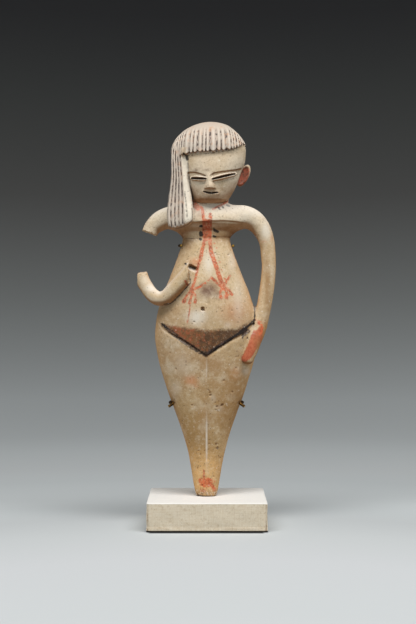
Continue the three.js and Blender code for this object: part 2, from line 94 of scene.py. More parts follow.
# Limb rows: x, y, height, half width, half thickness.
LEFT_ARM = [
    (-0.012, 0.0, 0.748, 0.027, 0.031),
    (0.0777, 0.0, 0.7455, 0.0325, 0.031),
    (0.1072, 0.0, 0.7445, 0.0305, 0.029),
    (0.1313, 0.0, 0.7325, 0.0272, 0.0262),
    (0.15, -0.002, 0.7085, 0.0243, 0.0235),
    (0.1621, -0.004, 0.6765, 0.0207, 0.021),
    (0.1661, -0.006, 0.6402, 0.0197, 0.0197),
    (0.1674, -0.008, 0.6081, 0.019, 0.019),
    (0.1607, -0.012, 0.5438, 0.019, 0.0188),
    (0.1487, -0.018, 0.4795, 0.0184, 0.0182),
    (0.1437, -0.023, 0.456, 0.0182, 0.017),
]
LEFT_HAND = [
    (0.1447, -0.0225, 0.464, 0.0168, 0.0155),
    (0.1375, -0.032, 0.442, 0.0196, 0.0145),
    (0.126, -0.043, 0.4152, 0.0196, 0.0135),
    (0.1175, -0.049, 0.3884, 0.0175, 0.0125),
    (0.1095, -0.052, 0.3675, 0.0145, 0.011),
]
RIGHT_STUB = [
    (0.012, 0.0, 0.748, 0.027, 0.031),
    (-0.075, 0.0, 0.7455, 0.0325, 0.031),
    (-0.1072, 0.0, 0.7415, 0.029, 0.028),
    (-0.127, -0.001, 0.7325, 0.0262, 0.0255),
    (-0.1433, -0.002, 0.7179, 0.0225, 0.0225),
    (-0.1545, -0.005, 0.6975, 0.0205, 0.0205),
]
RIGHT_FOREARM = [
    (-0.1848, -0.017, 0.614, 0.0215, 0.0195),
    (-0.17, -0.026, 0.5765, 0.0191, 0.0184),
    (-0.1567, -0.034, 0.5545, 0.0186, 0.0186),
    (-0.1433, -0.042, 0.5371, 0.019, 0.019),
    (-0.1259, -0.05, 0.5269, 0.0192, 0.019),
    (-0.1072, -0.056, 0.5304, 0.0196, 0.019),
    (-0.0897, -0.0612, 0.5465, 0.0198, 0.019),
    (-0.0723, -0.065, 0.5656, 0.0192, 0.019),
    (-0.0576, -0.0672, 0.583, 0.0184, 0.0188),
    (-0.0385, -0.068, 0.606, 0.018, 0.0182),
]
# Broken ends: a point on the break (x, y, height) and the way out of the clay.
STUB_BREAK = ((-0.1511, 0.0, 0.7019), (-0.38, 0.0, -0.925))
ELBOW_BREAK = ((-0.1735, -0.022, 0.5952), (-0.2, -0.1, 1.0))
WRIST_BREAK = ((-0.0462, -0.0665, 0.6), (1.0, -0.1, 0.0))
ELBOW_REACH = -0.12  # the elbow's break stops short of this x
BREAK_ROUGHNESS = 0.45  # in millimetres

HEAD_X = 0.0107
HEAD_Y = -0.004
HEAD = [
    (0.779, 0.034, 0.034, 0.03),
    (0.785, 0.0445, 0.0505, 0.042),
    (0.7956, 0.0514, 0.0578, 0.055),
    (0.815, 0.063, 0.063, 0.0645),
    (0.8358, 0.0723, 0.067, 0.071),
    (0.8588, 0.0805, 0.0705, 0.0755),
    (0.8894, 0.0922, 0.0695, 0.0775),
    (0.92, 0.0955, 0.065, 0.0775),
]
HEAD_ROUNDNESS = 2.15
DOME_TOP = 0.9895
DOME_ROUNDNESS = 1.8
NECK = [
    (0.735, 0.08, 0.044, 0.038),
    (0.75, 0.07, 0.042, 0.0385),
    (0.765, 0.058, 0.039, 0.04),
    (0.785, 0.052, 0.037, 0.041),
    (0.812, 0.047, 0.037, 0.04),
]

# The hair's lower edge: degrees round the head from the front towards +X, height, thickness.
HAIRLINE = [
    (-180, 0.842, 0.006),
    (-135, 0.85, 0.007),
    (-100, 0.882, 0.009),
    (-70, 0.896, 0.0105),
    (-45, 0.9035, 0.0105),
    (-22, 0.9093, 0.0105),
    (0, 0.9122, 0.0105),
    (27, 0.917, 0.01),
    (45, 0.925, 0.0085),
    (60, 0.9325, 0.006),
    (78, 0.936, 0.0045),
    (100, 0.928, 0.004),
    (135, 0.862, 0.006),
    (180, 0.842, 0.006),
]
CROWN_HAIR = 0.0105
RIDGES = 50
COMB_START = 0.25
COMB_FADE = (0.6, 0.95)  # where the combing ends, as a share of the way from hairline to crown
STRAIGHT_COMB = 0.75  # how nearly upright the front's ridges are
UNEVEN_COMB = 0.22  # how much the ridges wander, in ridges
RIDGE_DEPTH = 0.0048
# The powers that shape the wave across a ridge, for its height and for its hanging end.
RIDGE_SHAPE = 0.6
TOOTH_SHAPE = 1.3
TOOTH = 0.0052  # how far a ridge's end hangs below the grooves at its sides
# Lock rows: height, x, y, half width, half thickness.
LOCK = [
    (0.71, -0.0675, -0.0535, 0.033, 0.0168),
    (0.75, -0.0688, -0.0495, 0.0344, 0.0185),
    (0.79, -0.069, -0.0415, 0.0315, 0.0195),
    (0.8438, -0.0696, -0.0385, 0.0241, 0.02),
    (0.9054, -0.073, -0.0345, 0.02, 0.0195),
    (0.936, -0.0712, -0.0285, 0.0165, 0.0178),
    (0.95, -0.066, -0.024, 0.011, 0.012),
]
LOCK_FOOT = 0.7118
LOCK_FOOT_TILT = 0.27  # how much its lower edge rises towards the face
LOCK_GROOVES = 4.6
LOCK_GROOVE_DEPTH = 0.0056
LOCK_COMB_TOP = 0.934
LOCK_SLOPE = 0.22  # how far the plain strip beyond the combed part falls back, as a share of the thickness
LOCK_COMBED = 0.36  # where across its front the combed part ends, from -1 at its outer edge to 1

# The face: x from the head's axis and height from eye level.
EYE_LEVEL = 0.845
EYES = [((-0.0102, -0.0045), (-0.0505, -0.0014)), ((0.0027, -0.0061), (0.0668, 0.0112))]
LID = 0.0064
SLIT = 0.0035
SLIT_INSET = 0.04
# The forehead's lower edge, from the lock's side to the ear's. Below it the eyes lie deeper, in millimetres.
BROW_LINE = [
    (-0.09, 0.0125), (-0.0535, 0.0145), (-0.0387, 0.0134), (-0.0227, 0.0088), (-0.0075, 0.001),
    (-0.0045, -0.001), (-0.0015, 0.0033), (0.0089, 0.0112), (0.0247, 0.0143), (0.0407, 0.0167),
    (0.065, 0.0216), (0.09, 0.0295),
]
SOCKET_DEPTH = 0.7
SOCKET_FADE = (1.8, 7.0)
# Nose rows, from its bridge down: height, x, half width, how far it stands out.
NOSE = [
    (-0.0318, -0.001, 0.0125, 0.0),
    (-0.0304, -0.001, 0.0155, 0.0105),
    (-0.028, -0.001, 0.0165, 0.0168),
    (-0.0228, -0.0012, 0.0148, 0.0155),
    (-0.012, -0.0028, 0.0108, 0.0092),
    (0.0, -0.004, 0.008, 0.005),
    (0.012, -0.0045, 0.0062, 0.0),
]
MOUTH = [(-0.018, -0.037), (-0.0008, -0.0402), (0.0198, -0.0394)]
MOUTH_OPENING = 0.0024
LIPS = 0.0042
EAR = (0.1, 0.006, 0.8575)
EAR_HALF = (0.0146, 0.009, 0.0318)
EAR_LEAN = math.radians(25)
EAR_WALL = 0.0042

# Carving on the body, as x and height.
GROIN = [(-0.1255, 0.4625), (-0.108, 0.4415), (-0.0505, 0.4085), (0.0005, 0.3735)]
GROIN_RIGHT = [(0.0005, 0.3735), (0.056, 0.4105), (0.098, 0.4325), (0.1265, 0.462)]
LEG_LINE = [(0.001, 0.366), (0.001, 0.23), (0.0005, 0.1)]
SCAR_HOLLOW = [(-0.0425, 0.611), (-0.0295, 0.6045)]
SCAR_FLAT = [(-0.0415, 0.604), (-0.037, 0.583)]
# Hollows: points, how far out, widths and thicknesses in millimetres, blend in millimetres.
HOLLOWS = [
    ([(-0.0095, 0.4995), (-0.0095 + 0.002, 0.4995 - 0.003)], 0.0, [1.15, 0.8], [2.2, 1.6], 0.5),
    (SCAR_HOLLOW, 0.006, [1.75] * 5, [3.6] * 5, 0.4),
    (SCAR_FLAT, 0.008, [1.9, 1.7, 1.5, 1.2, 0.8], [2.2, 2.2, 2.0, 1.8, 1.4], 0.8),
]
CREASE_DEPTH = 0.28  # in millimetres, of the line under the chest
CREASE_WIDTH = 0.0028
# The cleft between the buttocks: its lower end, its length, its depth and its width.
CLEFT_LOW = 0.345
CLEFT_REACH = 0.13
CLEFT_DEPTH = 0.014
CLEFT_WIDTH = 0.011
CREASE = 0.6884  # the height of the line under the chest
UNDERCUT = 1.15  # in millimetres
SHOULDER_EDGE = 0.7308  # the height of the roll's lower edge, across the chest

# The skin, in millimetres: clusters of pits (x, height, count, spread), lone pits and low waves.
PIT_SEED = 11
PIT_CLUSTERS = [
    (1.2, 61, 7, 4.0), (8.7, 53.5, 6, 3.2), (2.7, 33.6, 3, 2.0), (6.0, 30.5, 5, 2.6), (7.8, 23, 3, 2.0),
]
LONE_PITS = 70
ROUGH_NOISE = (1.6, 3)  # the spacing and the seed of the noise for broken faces
WAVES = [(0.22, 14.0, 5), (0.07, 4.5, 6)]  # height, spacing, seed
ROUGH_SKIN = 0.02  # how much of that noise is all over
AROUND = ((0, 0), (1, 0), (1, 1), (0, 1))  # the corners of a quad, in turn

# The cradle, in millimetres, with its wires' heights in shares and reaches in degrees.
SPINE_RADIUS = 1.5
WIRE_RADIUS = 0.85
BRAZE = 0.5
CLAY_GAP = 0.35
BORE_FLOOR = 6
FLARE = 2.6
FLARE_DROP = 1.8
SPINE_RISE = 4
BRIGHT_END = 1.6  # how far the bright cut ends reach, in wire radii
UPPER_WIRE = (0.6684, 24, 9)
LOWER_WIRE = (0.249, 27, 25)
END_RINGS = ((0.0, 0.62), (0.13, 0.88))  # how far out a cut end's rings lie and their size, in wire radii
START_SIDE = (0.31, 0.2, 0.93)  # no wire starts in this direction

# The block's rounding, in millimetres.
BLOCK_CORNER = 1.6
BLOCK_EDGE = 0.9
# The linen: the hem's height and step, and how far each corner's seam lies in from the upright edge.
HEM = 2.2
HEM_STEP = 0.35
HEM_SEED = 21
GULLY_DEPTH = 0.35  # beside each corner's seam
SEAM_INSET = 1.25
LAST_FOLD = 0.8  # the cloth's doubled end, at the block's +X end

# The studio, in metres: a camera as far off and as low as the photograph's.
LENS = 69.2
SENSOR = 36.0
CAMERA_PLACE = (0.001, -0.72, 0.13)
CAMERA_PITCH = -0.24
STAGE_REACH = 3.2
STAGE_FLAT = 0.5
STAGE_CURVE = 0.35

# Paint and stains, in the photograph's pixels, for the camera above. Strokes: half width, points.
HORIZON = 307
MIDDLE = 208
FOCAL_PIXELS = 1200
PIXEL = 0.6  # millimetres
NECKLACE = [
    (1.1, [(229, 200.6), (221.8, 204.9), (213, 209)]),
    (0.9, [(192.5, 200.5), (201.4, 208), (203, 214)]),
]
STRAPS = [
    (1.6, [(202.4, 209), (203.8, 219), (205.2, 239)]),
    (1.8, [(210.4, 214.5), (209.6, 239)]),
    (4.7, [(207.2, 224), (207, 235.5)]),
    (1.8, [(205, 239), (202, 251), (200.4, 259)]),
    (1.3, [(200.4, 259), (198, 266), (196, 277), (193, 286)]),
    (1.9, [(209.8, 239), (211, 252)]),
    (2.2, [(211, 252), (215.7, 265), (218.8, 275), (223, 286)]),
]
PENDANTS = [
    (1.5, [(211.4, 277.6), (216, 282), (222, 287)]), (1.2, [(230, 275.6), (226.5, 282), (223.4, 287)]),
    (2.2, [(222.6, 284.5), (223.4, 288)]), (1.2, [(223.2, 287), (220.2, 291.5), (220.8, 297.5)]),
    (1.3, [(223.4, 287), (226.6, 291.5), (226.4, 297.5)]),
    (1.2, [(223.4, 287), (229.2, 289.6), (231.6, 294.5)]), (1.2, [(208.6, 281), (201, 286), (195, 289)]),
    (1.1, [(185, 281), (188.5, 286), (191.5, 290)]), (1.6, [(193, 286), (191.5, 294)]),
    (1.1, [(191.3, 290), (186.2, 296), (184, 301)]), (1.1, [(191.4, 292), (191, 298), (189.7, 303)]),
    (1.1, [(192, 290.5), (195.8, 296), (195.3, 302)]), (2.0, [(220.6, 296.8), (221, 297.8)]),
    (2.0, [(226.4, 296.8), (226.4, 297.8)]), (1.9, [(231, 293.6), (231.6, 294.4)]),
    (2.0, [(184.2, 300.8), (183.8, 301.8)]), (1.9, [(189.7, 302.2), (189.7, 303.4)]),
    (1.7, [(195.3, 301.2), (195.3, 302.2)]),
]
STRAP_DOTS = [
    (219.6, 262), (221, 266), (222.4, 270), (224, 274.5), (225.2, 279), (216.6, 248), (214.4, 243.5),
]
BELLY_LINE = [(0.7, [(190.5, 305), (188.8, 315), (187, 324)])]
WRIST_LINE = [(0.6, [(254.9, 319.4), (260, 321.5), (265.7, 323.2)])]
BEADS = [
    (1.3, [(200.4, 226), (201.6, 226)]), (2.1, [(200.8, 233), (201.2, 234.8)]),
    (1.4, [(200.2, 239), (201, 239.6)]), (1.2, [(213.4, 228.6), (214.4, 229)]),
    (1.5, [(214.8, 230.6), (217.6, 231.6)]), (1.3, [(213.8, 236.2), (215.4, 237)]),
    (0.8, [(218.3, 207.4), (219.5, 209.2)]), (0.8, [(222.1, 206), (223.2, 207.8)]),
    (1.0, [(227.2, 205.2), (229.2, 206)]), (0.9, [(183.8, 301.2), (184.4, 302)]),
    (1.0, [(189.4, 303.8), (189.8, 304.6)]), (1.0, [(185.3, 263.6), (185.8, 264.4)]),
]
FADED_BEADS = [
    (214.2, 242), (214.8, 246.6), (217, 254), (218.4, 258), (221, 275.6), (199.6, 244.6), (198.6, 248.6),
    (197.4, 252), (195, 255.5), (209, 257), (209.4, 253.4), (193.5, 291), (187.4, 290.6), (210.5, 426.5),
    (210.6, 439.3), (216, 444.4), (218.7, 456.8), (211.5, 445.4), (213, 449.6), (238, 322), (170, 345),
    (200.6, 432),
]
GROIN_PAINT = [
    (0.8, [(161.8, 323.8), (166, 327.6), (170, 330)]),
    (1.2, [(254.4, 320.3), (250, 324.6), (246, 327.8)]),
    (2.1, [(245.6, 329), (240.6, 332.4)]),
    (1.4, [(240.6, 332.4), (233, 337.4), (227, 341.4)]),
    (0.9, [(227, 341.4), (216, 348.4), (206, 355)]),
]
LOCK_WORN = [
    (0.55, [(184.8, 192), (186.1, 204), (187.2, 216.6)]),
    (0.5, [(187.8, 161), (188.4, 171), (190.4, 184)]),
]
GROIN_WORN = [
    (1.7, [(163, 325.4), (170, 331)]),
    (2.2, [(170, 331), (177.6, 337.2), (186.6, 343.6), (196.6, 350.2), (205.6, 355)]),
    (2.2, [(248, 331), (243, 334.6)]),
    (2.0, [(226, 342), (216, 348.2), (206.5, 354.4)]),
    (1.0, [(244, 333), (242.4, 338)]),
]
# Shadows of cracks and of clay laid on clay.
CONTACT_LINES = [
    (0.9, [(183.2, 153.4), (187.6, 156.6)]),
    (1.5, [(186.8, 156.6), (187.2, 159.4)]),
    (0.4, [(186, 155.8), (192, 155.2), (201.4, 153.9)]),
    (0.55, [(163.7, 304.4), (170, 303.6), (174, 301), (180, 295), (186, 288), (190.3, 283)]),
    (0.7, [(254.3, 306), (254.8, 312), (254.6, 320.3)]),
    (1.5, [(189.8, 267.6), (194.6, 268.4)]),
    (0.5, [(188.9, 272), (189.4, 278), (190.8, 282)]),
    (0.35, [(183.8, 264.6), (187, 262.8)]),
    (0.35, [(197.2, 266.4), (199.2, 262)]),
]
# Painted shade lines: under the fringe, below the brows and the chin, round the lock's foot, in creases at
# the waist and wrist, and a few more on the body and foot.
SHADE_LINES = [
    (0.45, [(201.4, 154.1), (210, 153.2), (217.8, 152.2), (228, 150.9), (238, 147.6)]),
    (0.3, [(190, 171.6), (196, 172.2), (202, 173.8), (206, 175.8)]),
    (0.3, [(209.4, 175.8), (213, 173.2), (219, 171.3), (228, 170.4), (236, 169.6), (243, 167.6)]),
    (0.35, [(193, 201.4), (200, 203.2), (209, 204.2), (219, 203.4), (227, 201)]),
    (0.45, [(191.8, 208), (192.4, 214), (192, 220.4), (188, 224.6), (181, 227.6), (175.4, 229)]),
    (0.25, [(185.6, 214), (187, 219), (184, 223.4), (178, 225.8)]),
    (0.3, [(183, 238.3), (192, 238.5), (202, 238.2)]),
    (0.25, [(220, 238.6), (228, 239), (231, 239.2)]),
    (0.25, [(255.2, 319.8), (260, 320.6), (265.5, 322.8)]),
    (0.35, [(196.4, 408), (196.5, 412)]),
    (0.3, [(199, 461.6), (197.6, 463.8), (195.4, 467.2)]),
    (0.3, [(205, 255), (209.2, 238.4)]),
]
WORN_RED = [
    (0.9, [(203.8, 470.6), (204, 478)]),
    (1.7, [(211, 483.6), (214.6, 490.4)]),
    (1.3, [(201, 491), (207.4, 492.6)]),
    (1.0, [(212.6, 479.6), (214.4, 481.6)]),
    (2.0, [(194.4, 205), (198, 209)]),
    (1.2, [(258, 322.5), (262, 326)]),
    (1.3, [(262.4, 328), (260.4, 334)]),
    (0.9, [(201.4, 206.6), (202.4, 210)]),
]
PUBIC_TRIANGLE = [
    (162, 324), (170.8, 326), (191, 328.4), (206.5, 330.6), (222, 329.6), (237, 329), (254, 320), (243, 332),
    (226, 342.5), (206, 355.4), (186, 342.5), (170, 331),
]
HAND_PAINT = [
    (253.4, 330), (250, 339), (246, 349), (241.4, 357.6), (241.8, 361.4), (246.4, 361.8), (251.6, 357.4),
    (257, 349), (261.6, 341), (264, 332), (262.4, 325.6), (259.4, 326.6), (256.6, 330.6),
]
# Painted shade down the hand's outer side.
HAND_SHADE = [(265.5, 333, 4.6, 15.0, 1.0), (260, 349, 4.6, 11.0, 1.0), (255, 340, 1.6, 6.0, 0.4)]
FOOT_PAINT = [
    (198.2, 480), (200.5, 477.8), (204, 479.6), (207.6, 477.4), (211.4, 479.4), (212.4, 483), (209.6, 487.2),
    (205, 487.6), (200, 485.8),
]
# Blots: x, y, half width, half height, strength.
ORANGE_BLOTS = [
    (191, 380.5, 6.5, 5.0, 0.8), (196, 385.6, 3.0, 2.4, 0.6), (213, 123.5, 6.0, 3.0, 1.0),
    (210.5, 134, 5.0, 7.0, 0.7), (203, 131, 3.0, 5.0, 0.5), (191, 129, 6.0, 4.0, 0.45),
    (236, 133, 4.0, 5.0, 0.4), (271.4, 238, 1.3, 3.4, 0.5), (264, 241.6, 3.0, 1.2, 0.5),
    (235.4, 256.2, 1.6, 2.8, 0.9), (195.5, 261.8, 6.0, 3.4, 1.0), (197, 207, 4.0, 5.0, 0.5),
    (235, 311, 14.0, 13.0, 0.45), (236, 373, 6.0, 6.0, 0.3), (214.5, 124.0, 2.0, 2.0, 0.8),
    (240, 143, 2.0, 3.0, 0.4), (203, 216, 4.0, 6.0, 0.3),
]
# Brown blots: stains, and painted shade under the chest's roll, beside the lock, and over the lower face and
# jaw.
BROWN_STAINS_AND_SHADE = [
    (211, 192, 14.0, 6.5, 0.75), (197, 192, 6.0, 6.0, 0.3), (220, 235.5, 26.0, 7.5, 1.0),
    (187, 240, 8.0, 11.0, 1.0), (212, 362, 14.0, 8.0, 0.5), (206, 418, 9.0, 20.0, 0.6),
    (229, 376, 8.0, 8.0, 0.3), (208, 198.6, 11.0, 2.8, 0.9), (183.6, 239, 4.4, 7.0, 0.9),
    (236, 388, 12.0, 26.0, 0.9), (226, 414, 10.0, 24.0, 0.7), (173, 314, 15.0, 10.0, 0.55),
    (236, 318, 11.0, 9.0, 0.4), (201, 357, 12.0, 4.0, 0.4), (196.6, 408, 2.2, 6.0, 0.4),
    (175, 397, 4.0, 4.0, 0.4), (174.5, 396, 2.0, 2.4, 0.5), (267.6, 285, 3.4, 34.0, 1.0),
    (219, 474, 5.0, 18.0, 0.3), (184, 254, 5.0, 12.0, 0.35), (263, 343, 3.4, 18.0, 0.8),
    (266.5, 326, 2.4, 7.0, 0.7), (262, 246, 2.5, 5.0, 0.6),
]
# Where the painted underside shade is left off, over the lips.
LIPS_CLEAR = [(208.4, 193.4, 12.0, 3.4, 1.0)]
GREY_BLOTS = [
    (208.5, 290, 10.5, 8.0, 1.0), (217, 294, 6.0, 5.0, 0.6), (201, 297, 6.0, 4.0, 0.4),
    (195.2, 170.4, 3.0, 1.5, 0.9), (207, 170, 3.0, 1.4, 0.7), (199, 213, 4.0, 5.0, 0.35),
    (246, 330, 4.0, 3.0, 0.4), (187, 300, 5.0, 4.0, 0.25),
]
# Pale blots: whiter slip, and painted light under the chin and on the belly's highlight.
PALE_STAINS_AND_LIGHT = [
    (214, 206.4, 12.0, 2.4, 0.9), (266, 231, 5.0, 9.0, 0.7), (247, 213, 12.0, 4.0, 0.5),
    (150, 288, 6.0, 4.0, 0.9), (163, 287, 8.0, 7.0, 0.5), (144, 280, 4.0, 6.0, 0.5),
    (197, 317, 9.0, 7.0, 0.9), (202, 313.5, 4.0, 3.0, 0.8), (209, 263, 5.0, 13.0, 0.7),
    (206.6, 440, 0.9, 23.0, 1.0), (206.6, 369, 0.7, 9.0, 0.5), (182, 365, 8.0, 12.0, 0.25),
    (176, 388, 6.0, 8.0, 0.35), (213, 398, 3.0, 4.0, 0.35), (219, 408, 4.0, 3.0, 0.25),
    (246, 371, 4.0, 4.0, 0.4), (238, 300, 5.0, 22.0, 0.35), (232, 262, 4.0, 10.0, 0.4),
    (152, 302, 14.0, 5.0, 0.3), (228, 325, 4.0, 3.0, 0.35), (241, 216, 12.0, 7.0, 0.3),
]

OUTLINES = {"pubic": PUBIC_TRIANGLE, "red_areas": HAND_PAINT, "foot_red": FOOT_PAINT}
BLOTS = {
    "hand_shade": HAND_SHADE,
    "brown": BROWN_STAINS_AND_SHADE,
    "orange": ORANGE_BLOTS,
    "grey": GREY_BLOTS,
    "pale": PALE_STAINS_AND_LIGHT,
}
BREAK_SIZES = (7, 6, 7.5)  # the radii of the three broken faces, in millimetres
HOLLOW_REACHES = {"hollow_fine": 0.7, "hollow_broad": 2.6}  # in millimetres

# Colours, as displayed.
ANKLE = (232, 184, 122)
SHIN = (170, 134, 86)
THIGH = (184, 152, 114)
BELLY = (211, 186, 150)
CHEST = (224, 211, 190)
FACE = (218, 200, 175)
OCHRE = (196, 168, 126)
CREAM = (232, 220, 196)
UMBER = (140, 112, 78)
# Brown stains double as painted shade, and pale ones as painted light.
BROWN_STAIN_AND_SHADE = (158, 118, 74)
ORANGE_STAIN = (206, 132, 84)
GREY_STAIN = (114, 82, 68)
PALE_STAIN_AND_LIGHT = (242, 236, 224)
# Stains, some doubling as painted shade and light, in the order they are laid, each with how much it covers.
STAINS = [
    ("brown", BROWN_STAIN_AND_SHADE, 0.75),
    ("orange", ORANGE_STAIN, 0.8),
    ("grey", GREY_STAIN, 0.95),
    ("pale", PALE_STAIN_AND_LIGHT, 0.75),
]
# Each tone of the slip above the ankle's, and where it comes in, in metres from the foot.
SLIP_LEVELS = [
    (SHIN, 0.012, 0.036),
    (THIGH, 0.045, 0.09),
    (BELLY, 0.075, 0.13),
    (CHEST, 0.145, 0.175),
    (FACE, 0.1715, 0.1755),
]
HAIR_SLIP = (200, 187, 174)
CROWN_GREY = (176, 164, 148)
RUBBED_CLAY = (206, 152, 110)
GROOVE_BLACK = (66, 54, 56)
RED = (216, 106, 66)
HAND_RED = (190, 100, 66)
DARK_RED = (172, 76, 50)
EAR_BROWN = (112, 54, 38)
PUBIC_BROWN = (124, 83, 50)
PUBIC_DARK = (80, 52, 33)
PUBIC_RED = (156, 80, 49)
BLACK = (38, 33, 33)
WORN_BLACK = (92, 76, 72)
# Dirt, and painted shade in hollows and along shade lines.
DIRT_AND_SHADE = (100, 72, 48)
DEEP_DIRT_AND_SHADE = (58, 42, 32)
CLAY_BODY = (196, 160, 116)
CLAY_DARK = (104, 76, 48)
# Painted light and shade: warm side rims, lit tops, the lock's lit strip, and shaded undersides.
SIDE_RIM_LIGHT = (214, 160, 100)
TOP_LIGHT = (244, 236, 226)
STRIP_LIGHT = (248, 238, 220)
UNDERSIDE_SHADE = (168, 124, 80)
BRASS_BROWN = (120, 88, 44)
BRASS_DARK = (52, 38, 22)
# A painted glint on the wires' cut ends.
BRASS_GLINT = (236, 190, 100)
LINEN_LIGHT = (236, 228, 211)
LINEN_SHADE = (214, 195, 164)
LINEN_GAP = (184, 160, 124)
LINEN_FLECK = (160, 138, 104)
LINEN_SEAM = (126, 88, 54)
# A painted contact shadow under the block, on the cloth and the floor.
CONTACT_SHADOW = (26, 22, 20)
# A painted highlight on the block's lit top.
LINEN_TOP_LIGHT = (250, 249, 246)
THREAD = 0.55  # millimetres from one thread to the next
FLOOR_SHADE = 4.0  # how far the block's shade reaches over the floor, in millimetres
# The backdrop's tone at each distance, in metres, from a point on the floor this far in front of the object.
BACKDROP_START = 0.3
# Painted shade up the sweep, and painted light where the figure's shadow falls.
BACKDROP_LIGHT_AND_SHADE = [
    (0.1, (205, 210, 212)), (0.2, (208, 212, 215)), (0.27, (204, 209, 211)), (0.322, (197, 202, 204)),
    (0.354, (200, 206, 208)), (0.388, (204, 210, 212)), (0.43, (199, 205, 207)), (0.484, (191, 197, 199)),
    (0.55, (190, 195, 197)), (0.67, (192, 198, 200)), (1.03, (189, 195, 197)), (1.45, (152, 156, 156)),
    (1.77, (121, 122, 121)), (2.07, (108, 111, 110)), (2.3, (96, 97, 99)),
]


def values_at(rows, keys):
    """Smooth values between the rows of a table whose first column rises."""
    table = np.asarray(rows, dtype=float)
    knots, values = table[:, 0], table[:, 1:]
    chords = (values[1:] - values[:-1]) / np.diff(knots)[:, None]
    across_two = (values[2:] - values[:-2]) / (knots[2:] - knots[:-2])[:, None]
    slopes = np.concatenate([chords[:1], across_two, chords[-1:]])
    keys = np.clip(keys, knots[0], knots[-1])
    i = np.clip(np.searchsorted(knots, keys, side="right") - 1, 0, len(knots) - 2)
    span = (knots[i + 1] - knots[i])[..., None]
    t = (keys - knots[i])[..., None] / span
    ease = t * t * (3 - 2 * t)
    bend = slopes[i] * t * (1 - t) ** 2 + slopes[i + 1] * t * t * (t - 1)
    return values[i] + (values[i + 1] - values[i]) * ease + bend * span


def sizes_at(rows, z):
    """A table's columns at heights in millimetres, in millimetres too."""
    values = (values_at(rows, np.ravel(z) / STATURE) * STATURE).astype(np.float32)
    return [column.reshape(np.shape(z)) for column in values.T]


def through(points, count):
    """Evenly many points on a smooth line through the given ones."""
    points = np.asarray(points, dtype=float)
    numbered = np.column_stack([np.arange(len(points)), points])
    return values_at(numbered, np.linspace(0, len(points) - 1, count))


def smooth_least(a, b, blend):
    """The smaller of two fields, rounded where they meet over the blend's width."""
    if blend <= 0:
        return np.minimum(a, b)
    near = np.maximum(blend - np.abs(a - b), 0) / blend
    return np.minimum(a, b) - near * near * blend / 4


def smooth_most(a, b, blend):
    return -smooth_least(-a, -b, blend)


def eased(value, start, end):
    """A smooth change from 0 to 1 while the value goes from start to end."""
    t = np.clip((value - start) / (end - start), 0, 1)
    return t * t * (3 - 2 * t)


class Field:
    """Distances to the clay in millimetres, on a grid: negative inside."""

    def __init__(self, low, high, step):
        self.low, self.step = np.array(low, dtype=float), step
        counts = np.ceil((np.array(high) - self.low) / step).astype(int) + 1
        self.axes = [self.low[i] + step * np.arange(counts[i]) for i in range(3)]
        self.values = np.full(counts, FAR, dtype=np.float32)

    def window(self, low, high):
        """The slices of a box, and its coordinates ready to broadcast."""
        spans = []
        for axis, a, b in zip(self.axes, low, high):
            first = int(np.clip(np.searchsorted(axis, a) - 1, 0, len(axis)))
            last = int(np.clip(np.searchsorted(axis, b) + 1, 0, len(axis)))
            spans.append(slice(first, last))
        x, y, z = (axis[s].astype(np.float32) for axis, s in zip(self.axes, spans))
        return tuple(spans), x[:, None, None], y[None, :, None], z[None, None, :]

    def add(self, spans, distance, blend=0.0):
        self.values[spans] = smooth_least(self.values[spans], distance, blend)

    def cut(self, spans, distance, blend=0.0):
        self.values[spans] = -smooth_least(-self.values[spans], distance, blend)

    def sampled(self, points):
        """The values at points in millimetres, blended between grid places."""
        place = (points - self.low) / self.step
        i = np.clip(place.astype(int), 0, np.array(self.values.shape) - 2)
        t = np.clip(place - i, 0, 1)
        total = np.zeros(len(points))
        for corner in np.ndindex(2, 2, 2):
            weight = np.prod(np.abs(1 - np.array(corner) - t), axis=1)
            total += weight * self.values[tuple((i + corner).T)]
        return total


def lattice_noise(shape, spacing, seed):
    """Smooth random values from -1 to 1 over a grid, about one bump for each spacing in millimetres."""
    rng = np.random.default_rng(seed)
    counts = [int(n * GRID_STEP / spacing) + 3 for n in shape]
    values = rng.uniform(-1, 1, counts).astype(np.float32)
    for axis, n in enumerate(shape):
        place = np.arange(n) * GRID_STEP / spacing
        i = place.astype(int)
        t = (place - i).astype(np.float32)
        t = (t * t * (3 - 2 * t)).reshape([n if a == axis else 1 for a in range(3)])
        values = np.take(values, i, axis=axis) * (1 - t) + np.take(values, i + 1, axis=axis) * t
    return values


def section_distance(x, y, half_width, front, back, roundness):
    """About how far a point is outside a superellipse with its own depth in front and behind."""
    size = (np.abs(x) / half_width) ** roundness + (np.abs(y) / np.where(y < 0, front, back)) ** roundness
    return np.sqrt(x * x + y * y) * (1 - 1 / np.maximum(size ** (1 / roundness), LEAST_SIZE))


